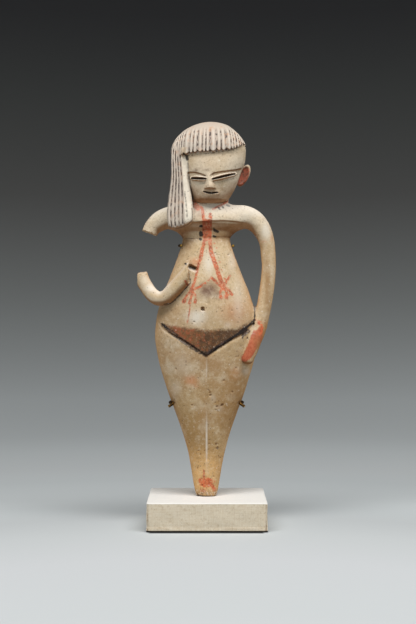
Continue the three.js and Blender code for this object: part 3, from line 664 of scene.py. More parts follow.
def chain_distance(field, points, widths, thicknesses, spread=FAR):
    """The window round a chain of tapered links, and the distance to it. Its broad side faces the front."""
    points, widths, thicknesses = (np.asarray(v, dtype=np.float32) for v in (points, widths, thicknesses))
    reach = max(widths.max(), thicknesses.max()) + spread
    spans, x, y, z = field.window(points.min(0) - reach, points.max(0) + reach)
    distance = np.full(np.broadcast_shapes(x.shape, y.shape, z.shape), FAR * 4, dtype=np.float32)
    for a, b, wa, wb, ta, tb in zip(points, points[1:], widths, widths[1:], thicknesses, thicknesses[1:]):
        link_spans, lx, ly, lz = field.window(np.minimum(a, b) - reach, np.maximum(a, b) + reach)
        inner = tuple(slice(s.start - w.start, s.stop - w.start) for s, w in zip(link_spans, spans))
        way = b - a
        along = ((lx - a[0]) * way[0] + (ly - a[1]) * way[1] + (lz - a[2]) * way[2]) / max(way @ way, TINY)
        along = np.clip(along, 0, 1)
        width = wa + (wb - wa) * along
        stretch = width / (ta + (tb - ta) * along)
        dx = lx - a[0] - way[0] * along
        dy = (ly - a[1] - way[1] * along) * stretch
        dz = lz - a[2] - way[2] * along
        link = (np.sqrt(dx * dx + dy * dy + dz * dz) - width) / np.maximum(stretch, 1)
        distance[inner] = np.minimum(distance[inner], link)
    return spans, distance


def limb(field, rows, count):
    """A limb through rows of x, y, height, half width and half thickness, as a window and a distance."""
    smooth = through(rows, count) * STATURE
    return chain_distance(field, smooth[:, :3], smooth[:, 3], smooth[:, 4])


def strip(field, points, radius, depth, taper):
    """A strip along points that thins towards its ends. Its sizes are shares of the stature."""
    share = np.clip(np.linspace(0, 1, len(points)), 0.02, 0.98)
    swell = taper + (1 - taper) * np.sin(math.pi * share) ** 0.5
    return chain_distance(field, points, radius * STATURE * swell, depth * STATURE * swell, spread=3.0)


def beyond_break(field, spans, place, way, rough):
    """How far points lie beyond a rough break."""
    x, y, z = (axis[s] - share * STATURE for axis, s, share in zip(field.axes, spans, place))
    way = np.array(way) / np.linalg.norm(way)
    plain = x[:, None, None] * way[0] + y[None, :, None] * way[1] + z[None, None, :] * way[2]
    return (plain + rough[spans] * BREAK_ROUGHNESS).astype(np.float32)


def head_distance(x, y, z, grow=0.0):
    """The distance to the head, grown outward by the hair's thickness."""
    dome_base = HEAD[-1][0] * STATURE
    half_width, front, back = (size + grow for size in sizes_at(HEAD, z))
    x, y = x - HEAD_X * STATURE, y - HEAD_Y * STATURE
    depth = np.where(y < 0, front, back)
    size = (np.abs(x) / half_width) ** HEAD_ROUNDNESS + (np.abs(y) / depth) ** HEAD_ROUNDNESS
    up = np.maximum(z - dome_base, 0)
    rise = up / (DOME_TOP * STATURE + grow - dome_base)
    size = (size ** (DOME_ROUNDNESS / HEAD_ROUNDNESS) + rise**DOME_ROUNDNESS) ** (1 / DOME_ROUNDNESS)
    return np.sqrt(x * x + y * y + up * up) * (1 - 1 / np.maximum(size, LEAST_SIZE))


def front_at(rows, roundness, x, share):
    """Where the front of a section is at x, at a height, in shares of the stature."""
    half_width, front, _ = values_at(rows, np.asarray(share, dtype=float)).T
    across = np.clip(np.abs(x / half_width), 0, 0.98)
    return -front * (1 - across**roundness) ** (1 / roundness)


def on_face(points, count, out=0.0):
    """Points on the face in millimetres, through x from the head's axis and height from eye level."""
    x, height = through(points, count).T
    share = EYE_LEVEL + height
    front = HEAD_Y + front_at(HEAD, HEAD_ROUNDNESS, x, share)
    return np.column_stack([HEAD_X + x, front - out, share]) * STATURE


def on_torso(points, count, out=0.0):
    x, share = through(points, count).T
    return np.column_stack([x, front_at(TORSO, TORSO_ROUNDNESS, x, share) - out, share]) * STATURE


def angle_round_head(x, y):
    """The angle of a point round the head's section: 0 in front, a quarter turn at +X."""
    _, half_width, front, back = HEAD[-1]
    across = (x / STATURE - HEAD_X) / half_width
    along = (y / STATURE - HEAD_Y) / np.where(y < HEAD_Y * STATURE, front, back)
    power = HEAD_ROUNDNESS / 2
    side = np.sign(across) * np.abs(across) ** power
    return np.arctan2(side, -np.sign(along) * np.abs(along) ** power)


def comb_wave(x, y):
    """From 0 between two ridges of the hair to 1 along a ridge. In front the ridges run straight down."""
    _, half_width, front, _ = HEAD[-1]
    side = np.clip((x / STATURE - HEAD_X) / half_width, -1, 1)
    upright = np.arcsin(np.sign(side) * np.abs(side) ** (HEAD_ROUNDNESS / 2))
    ahead = STRAIGHT_COMB * eased((HEAD_Y - y / STATURE) / front, 0.0, 0.45)
    angle = angle_round_head(x, y)
    angle = angle + (upright - angle) * ahead
    uneven = np.sin(angle * 7 + 1) + 0.6 * np.sin(angle * 17 + 2)
    phase = angle * RIDGES / (2 * math.pi) + COMB_START + UNEVEN_COMB * uneven
    return np.abs(np.cos(math.pi * phase))


def hairline_at(x, y):
    """The hair's lower edge and thickness there, in millimetres."""
    values = values_at(HAIRLINE, np.degrees(angle_round_head(x, y)))
    return values[..., 0] * STATURE, values[..., 1] * STATURE


def above_hairline(z, low):
    return np.clip((z - low) / (DOME_TOP * STATURE - low), 0, 1)


def add_torso(field):
    spans, x, y, z = field.window((-38, -24, -1), (38, 26, 0.78 * STATURE))
    distance = section_distance(x, y, *sizes_at(TORSO, z), TORSO_ROUNDNESS)
    # The cleft between the buttocks.
    share = z / STATURE
    along = np.clip((share - CLEFT_LOW) / CLEFT_REACH, 0, 1)
    cleft = CLEFT_DEPTH * STATURE * np.sin(math.pi * along) * np.exp(-((x / (CLEFT_WIDTH * STATURE)) ** 2))
    distance = distance + np.where(y > 0, cleft, 0)
    # The chest's soft lower edge, and the crease at the waist.
    below = SHOULDER_EDGE * STATURE - z + 0.5 * np.sin(x * 0.16)
    undercut = UNDERCUT * eased(below, -0.3, 0.5) * (1 - eased(below, 5.0, 9.5))
    distance = distance + undercut * (y < 0) * np.exp(-(((x - 2) / 19) ** 6))
    distance = distance + CREASE_DEPTH * (np.exp(-(((share - CREASE) / CREASE_WIDTH) ** 2)) * (y < 0))
    distance = smooth_most(distance, z - TORSO[-1][0] * STATURE, blend=3.0)
    field.add(spans, smooth_most(distance, -z, blend=0.8))


def add_neck(field):
    spans, x, y, z = field.window((-24, -16, 0.72 * STATURE), (26, 16, 0.83 * STATURE))
    distance = section_distance(x - HEAD_X / 2 * STATURE, y, *sizes_at(NECK, z), roundness=2.0)
    distance = smooth_most(distance, z - NECK[-1][0] * STATURE, blend=1.0)
    field.add(spans, smooth_most(distance, NECK[0][0] * STATURE - z, blend=1.0), blend=3.5)


def add_head(field):
    spans, x, y, z = field.window((-24, -24, 0.76 * STATURE), (32, 24, 1.03 * STATURE))
    distance = smooth_most(head_distance(x, y, z), HEAD[0][0] * STATURE - z, blend=1.5)
    field.add(spans, distance, blend=1.2)


def add_hair(field):
    spans, x, y, z = field.window((-26, -26, 0.82 * STATURE), (34, 26, 1.03 * STATURE))
    low, thickness = (v.astype(np.float32) for v in hairline_at(x, y))
    height = above_hairline(z, low)
    wave = comb_wave(x, y)
    ridge = (wave**RIDGE_SHAPE - 1) * RIDGE_DEPTH * STATURE * (1 - eased(height, *COMB_FADE))
    crown = CROWN_HAIR * STATURE
    grow = thickness + (crown - thickness) * height**2
    distance = head_distance(x, y, z, crown) + (crown - grow) - ridge
    tooth = TOOTH * STATURE * (1 - wave**TOOTH_SHAPE)
    field.add(spans, smooth_most(distance, low + tooth - z, blend=0.5), blend=0.25)


def lock_groove(across):
    """From 0 along the lock's strands to 1 in the grooves between them."""
    phase = (across + 1) / (LOCK_COMBED + 1) * LOCK_GROOVES
    return 1 - np.abs(np.sin(math.pi * phase)) ** 0.7


def lock_faded(amount, z, above_foot):
    """An amount that dies out at the top and the foot of the lock's combed part."""
    amount = amount * eased(z, LOCK_COMB_TOP * STATURE, (LOCK_COMB_TOP - 0.02) * STATURE)
    return amount * eased(above_foot, 1.0, 3.0)


def add_lock(field):
    low, high = LOCK_FOOT * STATURE, LOCK[-1][0] * STATURE
    spans, x, y, z = field.window((-27, -19, low - 4), (-4, 4, high + 4))
    centre_x, centre_y, half_width, half_thickness = sizes_at(LOCK, z)
    across = (x - centre_x) / half_width
    tilt = LOCK_FOOT_TILT * (x - LOCK[0][1] * STATURE)
    combed = lock_faded(np.clip((LOCK_COMBED - across) * 12, 0, 1), z, z - low - tilt)
    groove = LOCK_GROOVE_DEPTH * STATURE * lock_groove(across) * combed
    beyond = np.clip((across - LOCK_COMBED) / (1 - LOCK_COMBED), 0, 1.2)
    slope = half_thickness * LOCK_SLOPE * beyond**1.4
    sides = (np.abs(across) - 1) * half_width
    front = centre_y - half_thickness - y + slope + groove * (y < centre_y)
    distance = smooth_most(sides, front, blend=2.2)
    distance = smooth_most(distance, y - centre_y - half_thickness, blend=3.0)
    distance = smooth_most(distance, low + tilt - z, blend=5.5)
    field.add(spans, smooth_most(distance, z - high, blend=2.5), blend=0.5)


def ear_turned(x, z):
    """Places in the ear's leaning plane, in millimetres from the point that x and z count from."""
    return x * math.cos(EAR_LEAN) - z * math.sin(EAR_LEAN), x * math.sin(EAR_LEAN) + z * math.cos(EAR_LEAN)


def ear_distance(x, y, z, centre, half):
    """The distance to a leaning ellipsoid."""
    cx, cy, cz = (v * STATURE for v in centre)
    hx, hy, hz = (v * STATURE for v in half)
    across, along = ear_turned(x - cx, z - cz)
    size = np.sqrt((across / hx) ** 2 + ((y - cy) / hy) ** 2 + (along / hz) ** 2)
    reach = np.sqrt(across**2 + (y - cy) ** 2 + along**2)
    return reach * (1 - 1 / np.maximum(size, LEAST_SIZE))


def add_ear(field):
    spans, x, y, z = field.window((14, -6, 0.81 * STATURE), (34, 9, 0.91 * STATURE))
    shell = ear_distance(x, y, z, EAR, EAR_HALF)
    dish_at = (EAR[0] - 0.001, EAR[1] - EAR_HALF[1], EAR[2])
    dish_half = (EAR_HALF[0] - EAR_WALL, EAR_HALF[1], EAR_HALF[2] - EAR_WALL)
    dish = ear_distance(x, y, z, dish_at, dish_half)
    field.add(spans, smooth_most(shell, -dish, blend=0.5), blend=0.8)


def add_face(field):
    # Below the brow line the face steps back, and comes forward again by the cheeks.
    # The nose is a pinched wedge.
    eyes = EYE_LEVEL * STATURE
    spans, x, y, z = field.window((-22, -24, eyes - 14), (26, -6, eyes + 10))
    brow_x, brow_height = np.array(BROW_LINE).T * STATURE
    from_axis = x - HEAD_X * STATURE
    below = (eyes + np.interp(from_axis, brow_x, brow_height) - z).astype(np.float32)
    step_back = SOCKET_DEPTH * eased(below, -0.15, 0.35) * (1 - eased(below, *SOCKET_FADE))
    nose = values_at(NOSE, (np.ravel(z) - eyes) / STATURE).T * STATURE
    centre, half_width, out = nose[:, None, None, :]
    across = np.abs(from_axis - centre) / half_width
    wedge = out * np.maximum(1 - across**1.5, 0)
    step_back = step_back * eased(across, 0.5, 1.4)
    field.values[spans] += (step_back - wedge).astype(np.float32) * (y < HEAD_Y * STATURE)
    for eye in EYES:
        field.add(*strip(field, on_face(eye, 11), LID, LID, taper=0.55), blend=0.6)
        (x1, h1), (x2, h2) = eye
        inset = [(x1 + (x2 - x1) * t, h1 + (h2 - h1) * t) for t in (SLIT_INSET, 0.5, 1 - SLIT_INSET)]
        field.cut(*strip(field, on_face(inset, 11, out=0.004), SLIT, 0.011, taper=0.55), blend=0.25)
    lips = [(x, height - 0.001) for x, height in MOUTH]
    field.add(*strip(field, on_face(lips, 9), LIPS, 0.0023, taper=0.4), blend=1.4)
    field.cut(*strip(field, on_face(MOUTH, 9, out=0.003), MOUTH_OPENING, 0.0075, taper=0.35), blend=0.3)


def carve_body(field):
    for line in (GROIN, GROIN_RIGHT):
        field.cut(*strip(field, on_torso(line, 25), 0.0018, 0.003, taper=0.6), blend=1.5)
    field.cut(*strip(field, on_torso(LEG_LINE, 25), 0.0022, 0.0021, taper=0.5), blend=1.4)
    for points, out, widths, thicknesses, blend in HOLLOWS:
        route = on_torso(points, len(widths), out)
        field.cut(*chain_distance(field, route, widths, thicknesses), blend)


def pit_surface(field):
    """Small chips and pits: clusters where the photographed clay has them, and a few anywhere."""
    rng = np.random.default_rng(PIT_SEED)
    spots = []
    for x, z, count, spread in PIT_CLUSTERS:
        for _ in range(count):
            place = (x + rng.normal(0, spread * 0.5), z + rng.normal(0, spread * 0.5))
            spots.append((*place, rng.uniform(0.35, 0.75)))
    for _ in range(LONE_PITS):
        z = rng.uniform(4, 165)
        half_width = values_at(TORSO, np.array([z / STATURE]))[0, 0] * STATURE
        spots.append((rng.uniform(-0.85, 0.85) * half_width, z, rng.uniform(0.25, 0.5)))
    for x, z, radius in spots:
        y = float(front_at(TORSO, TORSO_ROUNDNESS, x / STATURE, z / STATURE)) * STATURE
        if rng.random() >= 0.75:
            y = abs(y)
        point = [(x, y, z), (x + rng.uniform(-0.5, 0.5), y, z + rng.uniform(-0.5, 0.5))]
        field.cut(*chain_distance(field, point, [radius] * 2, [radius] * 2, spread=1.5), blend=0.3)


def chip_foot(field, rough):
    """The broken foot: chipped away unevenly above the block."""
    spans, x, y, z = field.window((-8, -8, -1), (8, 8, 7))
    ragged = 0.9 + 1.3 * rough[spans] - z
    edge = section_distance(x, y, 6.0, 5.8, 6.0, roundness=2.3) + 1.4
    field.cut(spans, smooth_most(-ragged, -edge, blend=0.5), blend=0.4)


def clay_field():
    field = Field((-41, -22, -1.5), (41.5, 22.5, 1.008 * STATURE), GRID_STEP)
    shape = field.values.shape
    rough = lattice_noise(shape, *ROUGH_NOISE)
    add_torso(field)
    spans, stub = limb(field, RIGHT_STUB, 19)
    field.add(spans, smooth_most(stub, beyond_break(field, spans, *STUB_BREAK, rough), blend=0.5), blend=4.0)
    field.add(*limb(field, LEFT_ARM, 45), blend=4.0)
    add_neck(field)
    field.add(*limb(field, LEFT_HAND, 17), blend=0.8)
    spans, forearm = limb(field, RIGHT_FOREARM, 37)
    elbow_end = np.minimum(beyond_break(field, spans, *ELBOW_BREAK, rough), 20)
    elbow_end = np.where(field.axes[0][spans[0]][:, None, None] < ELBOW_REACH * STATURE, elbow_end, -20)
    forearm = smooth_most(forearm, elbow_end.astype(np.float32), blend=0.5)
    forearm = smooth_most(forearm, beyond_break(field, spans, *WRIST_BREAK, rough), blend=0.3)
    field.add(spans, forearm, blend=0.7)
    for add in (add_head, add_ear, add_face, add_hair, add_lock, carve_body):
        add(field)
    chip_foot(field, rough)
    pit_surface(field)
    for height, spacing, seed in WAVES:
        field.values += height * lattice_noise(shape, spacing, seed)
    field.values += ROUGH_SKIN * rough
    field.values = np.maximum(field.values, (-field.axes[2][None, None, :]).astype(np.float32))
    return field


def surface_net(field):
    """One point in each cell that the surface crosses, and a quad round each grid edge that it crosses."""
    values = field.values
    inside = values < 0
    shape = np.array(values.shape) - 1
    count = np.zeros(shape, dtype=np.int8)
    for i, j, k in np.ndindex(2, 2, 2):
        count += inside[i : i + shape[0], j : j + shape[1], k : k + shape[2]]
    cells = (count > 0) & (count < 8)
    at = np.argwhere(cells)
    number = np.full(cells.shape, -1, dtype=np.int32)
    number[cells] = np.arange(len(at))
    total = np.zeros((len(at), 3))
    crossings = np.zeros(len(at))
    for axis, u, v in np.ndindex(3, 2, 2):
        start, end = (np.insert((u, v), axis, side) for side in (0, 1))
        a, b = (values[tuple((at + corner).T)].astype(float) for corner in (start, end))
        crossed = (a < 0) != (b < 0)
        share = np.where(crossed, a / np.where(crossed, a - b, 1), 0)
        total += (start + share[:, None] * (end - start)) * crossed[:, None]
        crossings += crossed
    points = field.low + (at + total / crossings[:, None]) * field.step
    quads = []
    for axis in range(3):
        others = [n for n in range(3) if n != axis]
        first = np.take(inside, range(shape[axis]), axis=axis)
        second = np.take(inside, range(1, shape[axis] + 1), axis=axis)
        edges = np.argwhere(first != second)
        edges = edges[np.all((edges[:, others] > 0) & (edges[:, others] < shape[others]), axis=1)]
        ring = []
        for a, b in AROUND:
            cell = edges - np.insert((a, b), axis, 0)
            ring.append(number[tuple(cell.T)])
        quad = np.column_stack(ring)
        out = first[tuple(edges.T)]
        turned = out if axis != 1 else ~out
        quad[~turned] = quad[~turned][:, ::-1]
        quads.append(quad)
    return points, np.concatenate(quads)


def mesh_of(name, points, faces):
    """A mesh object from points in metres and quads."""
    faces = np.asarray(faces, dtype=np.int32)
    mesh = bpy.data.meshes.new(name)
    mesh.vertices.add(len(points))
    mesh.vertices.foreach_set("co", np.asarray(points, dtype=np.float32).ravel())
    mesh.loops.add(faces.size)
    mesh.loops.foreach_set("vertex_index", faces.ravel())
    mesh.polygons.add(len(faces))
    mesh.polygons.foreach_set("loop_start", np.arange(0, faces.size, 4, dtype=np.int32))
    mesh.update(calc_edges=True)
    mesh.shade_smooth()
    piece = bpy.data.objects.new(name, mesh)
    bpy.context.scene.collection.objects.link(piece)
    return piece


def thinned(piece, most):
    """The piece's mesh brought under the given number of triangles."""
    triangles = 2 * len(piece.data.polygons)
    if triangles <= most:
        return
    piece.modifiers.new("thin", "DECIMATE").ratio = most / triangles
    mesh = bpy.data.meshes.new_from_object(piece.evaluated_get(bpy.context.evaluated_depsgraph_get()))
    piece.modifiers.clear()
    piece.data = mesh
    mesh.shade_smooth()


def read_points(piece, what):
    """The places or the normals of a mesh's points."""
    values = np.empty(len(piece.data.vertices) * 3, dtype=np.float32)
    piece.data.vertices.foreach_get(what, values)
    return values.reshape(-1, 3)


def store(piece, name, values, domain="POINT"):
    attribute = piece.data.attributes.new(name, "FLOAT", domain)
    attribute.data.foreach_set("value", np.asarray(values, dtype=np.float32).ravel())


def ring_faces(rings, sides):
    """Quads between rings of points that follow one another."""
    j = np.arange(sides)
    k = (j + 1) % sides
    quads = np.column_stack([j, k, sides + k, sides + j])
    return np.concatenate([quads + i * sides for i in range(rings - 1)])


def swept(path, radius, sides):
    """Points and faces of a round bar along a path, its cut ends eased."""
    way = np.gradient(path, axis=0)
    way /= np.linalg.norm(way, axis=1)[:, None]
    ends = []
    for end, sense in ((0, -1), (-1, 1)):
        beyond = sense * way[end] * radius
        ends.append([(path[end] + beyond * out, radius * size, way[end]) for out, size in END_RINGS])
    stations = ends[0] + [(place, radius, ahead) for place, ahead in zip(path, way)] + ends[1][::-1]
    turns = np.linspace(0, 2 * math.pi, sides, endpoint=False)[:, None]
    side = np.cross(way[0], START_SIDE)
    rings = []
    for centre, size, ahead in stations:
        side = side - ahead * (side @ ahead)
        side /= np.linalg.norm(side)
        rings.append(centre + size * (np.cos(turns) * side + np.sin(turns) * np.cross(ahead, side)))
    middles = [np.repeat(ring.mean(0)[None], sides, axis=0) for ring in (rings[0], rings[-1])]
    rings = [middles[0], *rings, middles[1]]
    return np.concatenate(rings), ring_faces(len(rings), sides)


def spine_y(height):
    back = values_at(TORSO, np.asarray(height, dtype=float))[..., 2] * STATURE
    return back + CLAY_GAP + 2 * WIRE_RADIUS + SPINE_RADIUS - BRAZE


def cross_wire(height, left_reach, right_reach, flare, drop):
    """A wire's route round the back of the body, its tips past the sides."""
    sizes = values_at(TORSO, np.array([height]))[0] + (CLAY_GAP + WIRE_RADIUS) / STATURE
    angles = np.radians(np.linspace(90 - right_reach, 270 + left_reach, 13))
    across, along = np.sin(angles), -np.cos(angles)
    power = 2 / TORSO_ROUNDNESS
    x = sizes[0] * np.sign(across) * np.abs(across) ** power
    y = np.where(along < 0, sizes[1], sizes[2]) * np.sign(along) * np.abs(along) ** power
    route = np.column_stack([x, y, np.full(len(x), height)]) * STATURE
    if flare:
        right_tip = route[0] + (flare, -flare / 2, -drop)
        left_tip = route[-1] + (-flare, -flare / 2, -drop)
        route = np.concatenate([[right_tip], route, [left_tip]])
    return through(route, 90)


def brass_cradle():
    heights = np.linspace(0, UPPER_WIRE[0] + SPINE_RISE / STATURE, 11)
    behind = np.column_stack([np.zeros(11), spine_y(heights), heights * STATURE])
    foot = [[0, float(spine_y(0.0)), BORE_FLOOR - FOOT / MM]]
    rod = swept(through(np.concatenate([foot, behind]), 140), SPINE_RADIUS, 20)
    upper = swept(cross_wire(*UPPER_WIRE, 0, 0), WIRE_RADIUS, 16)
    lower = swept(cross_wire(*LOWER_WIRE, FLARE, FLARE_DROP), WIRE_RADIUS, 16)
    points = np.concatenate([rod[0], upper[0], lower[0]])
    starts = (0, len(rod[0]), len(rod[0]) + len(upper[0]))
    faces = np.concatenate([bar[1] + start for bar, start in zip((rod, upper, lower), starts)])
    # How near each point is to a cut end, where the brass gets a painted glint.
    cut = np.zeros(len(points))
    for end in (upper[0][0], upper[0][-1], lower[0][0], lower[0][-1]):
        cut = np.maximum(cut, 1 - np.linalg.norm(points - end, axis=1) / (BRIGHT_END * WIRE_RADIUS))
    points[:, 2] += FOOT / MM
    wires = mesh_of("bent_brass_wires", points * MM, faces)
    store(wires, "cut_end", np.clip(cut, 0, 1))
    return wires


def box_grid(counts):
    """A box's surface as a grid: places from -1 to 1 across and 0 to 1 up, and its quads."""
    nx, ny, nz = counts
    number, quads = {}, []
    sheets = [
        (ny, nx, lambda a, b: (b, a, 0)),
        (nx, ny, lambda a, b: (a, b, nz)),
        (nx, nz, lambda a, b: (a, 0, b)),
        (nz, nx, lambda a, b: (b, ny, a)),
        (nz, ny, lambda a, b: (0, b, a)),
        (ny, nz, lambda a, b: (nx, a, b)),
    ]
    for rows, columns, spot in sheets:
        for a, b in np.ndindex(rows, columns):
            corners = [spot(a + da, b + db) for da, db in AROUND]
            quads.append([number.setdefault(corner, len(number)) for corner in corners])
    spots = np.array(list(number))
    place = np.column_stack([spots[:, 0] / nx * 2 - 1, spots[:, 1] / ny * 2 - 1, spots[:, 2] / nz])
    return place, np.array(quads)


def linen_block():
    """The block under its linen: closed, with rounded edges, a folded hem and folded corners."""
    half = (np.array(block_high) - np.array(block_low))[:2] / 2 / MM
    height = (block_high[2] - block_low[2]) / MM
    size = np.array([*half, height])
    step = 0.7
    place, quads = box_grid([int(round(length / step)) for length in (2 * half[0], 2 * half[1], height)])
    # The edges are rounded: points near them are drawn in towards a ball inside the corner.
    rounding = np.array([BLOCK_CORNER, BLOCK_CORNER, BLOCK_EDGE])
    inner = np.clip(place * size, [*(-half + BLOCK_CORNER), BLOCK_EDGE], size - rounding)
    out = (place * size - inner) / rounding
    out /= np.maximum(np.linalg.norm(out, axis=1), TINY)[:, None]
    solid = inner + out * rounding
    x, y, z = solid.T
    edge_x = half[0] - np.abs(x)
    edge_y = half[1] - np.abs(y)
    # The cloth is turned under: its folded edge is a step near the foot, not quite straight.
    bends = np.random.default_rng(HEM_SEED).uniform(-1, 1, (4, 3))
    run = x / half[0] + y / half[1]
    hem = HEM + sum(b * 0.22 * np.sin(run * (2.1 + 3.3 * i) + 4 * c) for i, (b, c, _) in enumerate(bends))
    step_out = HEM_STEP * (1 / (1 + np.exp((z - hem) / 0.18)) - 1)
    side = (z > BLOCK_EDGE * 0.6) & (z < height - BLOCK_EDGE * 0.4)
    # Folded corners: the front's cloth ends just short of each upright edge, with a fine gully beside it.
    gully = np.exp(-(((edge_x - SEAM_INSET) / 0.32) ** 2)) * (edge_y < 0.4)
    sway = 0.1 * np.sin(x * 0.21 + y * 0.13 + 0.6) * np.sin(z * 0.5 + x * 0.08)
    sunk = np.where(side, step_out - GULLY_DEPTH * gully + sway - 0.1, 0)
    outward = np.where(np.abs(place) == 1, place, 0) * (1, 1, 0)
    outward /= np.maximum(np.linalg.norm(outward, axis=1), TINY)[:, None]
    solid = solid + outward * sunk[:, None]
    solid[:, 0] += LAST_FOLD * eased(place[:, 0], 0.9, 1.0)
    sag = 0.06 * (1 + np.sin(x * 0.17 + 1) * np.cos(y * 0.19)) * np.clip(np.minimum(edge_x, edge_y) / 4, 0, 1)
    solid[:, 2] -= np.where(place[:, 2] == 1, sag, 0)
    cover = mesh_of("linen_cover", solid * MM, quads)
    store(cover, "hem", np.where(side, np.exp(-(((z - hem + 0.3) / 0.3) ** 2)), 0))
    # The cloth's own directions, for its weave, in millimetres on each face.
    corner = solid[quads]
    on_end, on_top = (np.ptp(place[quads][:, :, axis], axis=1)[:, None] == 0 for axis in (0, 2))
    store(cover, "cloth_u", np.where(on_end, corner[:, :, 1] + 31.7, corner[:, :, 0]), "CORNER")
    store(cover, "cloth_v", np.where(on_top, corner[:, :, 1], corner[:, :, 2] + 17.3), "CORNER")
    return cover


def stage_bowl():
    """A floor that sweeps up into a backdrop all round."""
    rings, sides = 120, 128
    radius = np.linspace(0, 1, rings) ** 1.4 * STAGE_REACH
    rise = STAGE_CURVE * np.maximum(radius - STAGE_FLAT, 0) ** 2
    turn = np.linspace(0, 2 * math.pi, sides, endpoint=False)
    across, along = (np.outer(radius, wave(turn)).ravel() for wave in (np.cos, np.sin))
    points = np.column_stack([across, along, np.repeat(rise, sides)])
    return mesh_of("studio_sweep", points, ring_faces(rings, sides)[:, [0, 3, 2, 1]])


def seen_from_front(points):
    """Where points in metres show in the photograph, in its pixels."""
    x, y, z = points.T
    away = y - CAMERA_PLACE[1]
    across = MIDDLE + FOCAL_PIXELS * (x - CAMERA_PLACE[0]) / away
    return across, HORIZON - FOCAL_PIXELS * (z - CAMERA_PLACE[2]) / away


def stroke_distance(across, down, strokes):
    """How far points are outside the nearest of some strokes, in millimetres."""
    nearest = np.full(across.shape, FAR)
    for half_width, line in strokes:
        for (ax, ay), (bx, by) in zip(line, line[1:]):
            length = max((bx - ax) ** 2 + (by - ay) ** 2, TINY)
            along = np.clip(((across - ax) * (bx - ax) + (down - ay) * (by - ay)) / length, 0, 1)
            gap = np.hypot(across - ax - along * (bx - ax), down - ay - along * (by - ay)) - half_width
            nearest = np.minimum(nearest, gap * PIXEL)
    return nearest


def outline_distance(across, down, corners):
    """How far points are outside a closed outline, in millimetres: negative inside."""
    inside = np.zeros(across.shape, dtype=bool)
    for (ax, ay), (bx, by) in zip(corners, corners[1:] + corners[:1]):
        if ay != by:
            inside ^= ((ay > down) != (by > down)) & (across < (bx - ax) * (down - ay) / (by - ay) + ax)
    edge = stroke_distance(across, down, [(0.0, corners + corners[:1])])
    return np.where(inside, -edge, edge)


def blot_strength(across, down, blots):
    total = np.zeros(across.shape)
    for x, y, half_width, half_height, strength in blots:
        size = ((across - x) / half_width) ** 2 + ((down - y) / half_height) ** 2
        total = np.maximum(total, strength * np.exp(-(size**1.3)))
    return total


def dots(places, half_width):
    return [(half_width, [(x - 0.2, y), (x + 0.2, y)]) for x, y in places]


def broken_faces(at, normals):
    """1 on the faces of the stub's break, of both ends of the forearm, and on the foot's edge."""
    broken = np.zeros(len(at))
    for (place, way), size in zip((STUB_BREAK, ELBOW_BREAK, WRIST_BREAK), BREAK_SIZES):
        way = np.array(way) / np.linalg.norm(way)
        off = at - np.array(place) * STATURE
        close = (np.abs(off @ way) < 1.1) & (np.linalg.norm(off, axis=1) < size)
        broken = np.maximum(broken, close * eased(normals @ way, 0.45, 0.75))
    return np.maximum(broken * 0.75, 1 - eased(at[:, 2], 1.6, 5.2))


def hair_places(at, normals):
    """Where the hair is, how deep its grooves are, and where its ridges are combed, at the mesh's points."""
    x, y, z = at.T
    low, _ = hairline_at(x, y)
    fade = 1 - eased(above_hairline(z, low), *COMB_FADE)
    cap = np.clip((z - low + 0.3) / 0.6, 0, 1)
    high_cap = cap * (z > 0.83 * STATURE)
    centre_x, centre_y, half_width, half_thickness = sizes_at(LOCK, z)
    across = (x - centre_x) / half_width
    lock_low = LOCK_FOOT * STATURE + LOCK_FOOT_TILT * (x - LOCK[0][1] * STATURE)
    in_lock = (np.abs(across) < 1.08) & (y < centre_y + half_thickness * 1.1)
    in_lock &= (z > lock_low - 0.1) & (z < 0.925 * STATURE) & (y < -2.0)
    proud = front_at(TORSO, TORSO_ROUNDNESS, x / STATURE, z / STATURE) * STATURE - y
    in_lock &= (proud > 1.2) | (z > 0.76 * STATURE)
    combed = (across < LOCK_COMBED) & in_lock & (normals[:, 1] < 0.3)
    lock_comb = lock_faded(lock_groove(across), z, z - lock_low)
    comb = (1 - comb_wave(x, y) ** RIDGE_SHAPE) * fade
    return {
        "comb": np.where(in_lock, np.where(combed, lock_comb, 0), comb * cap),
        "lock_strip": in_lock & (across > LOCK_COMBED) & (z < 0.9 * STATURE),
        "combed": np.where(in_lock, combed * 0.4, high_cap * fade),
        "hair": np.where(in_lock, np.where(combed, 1.0, 0.3), high_cap),
    }


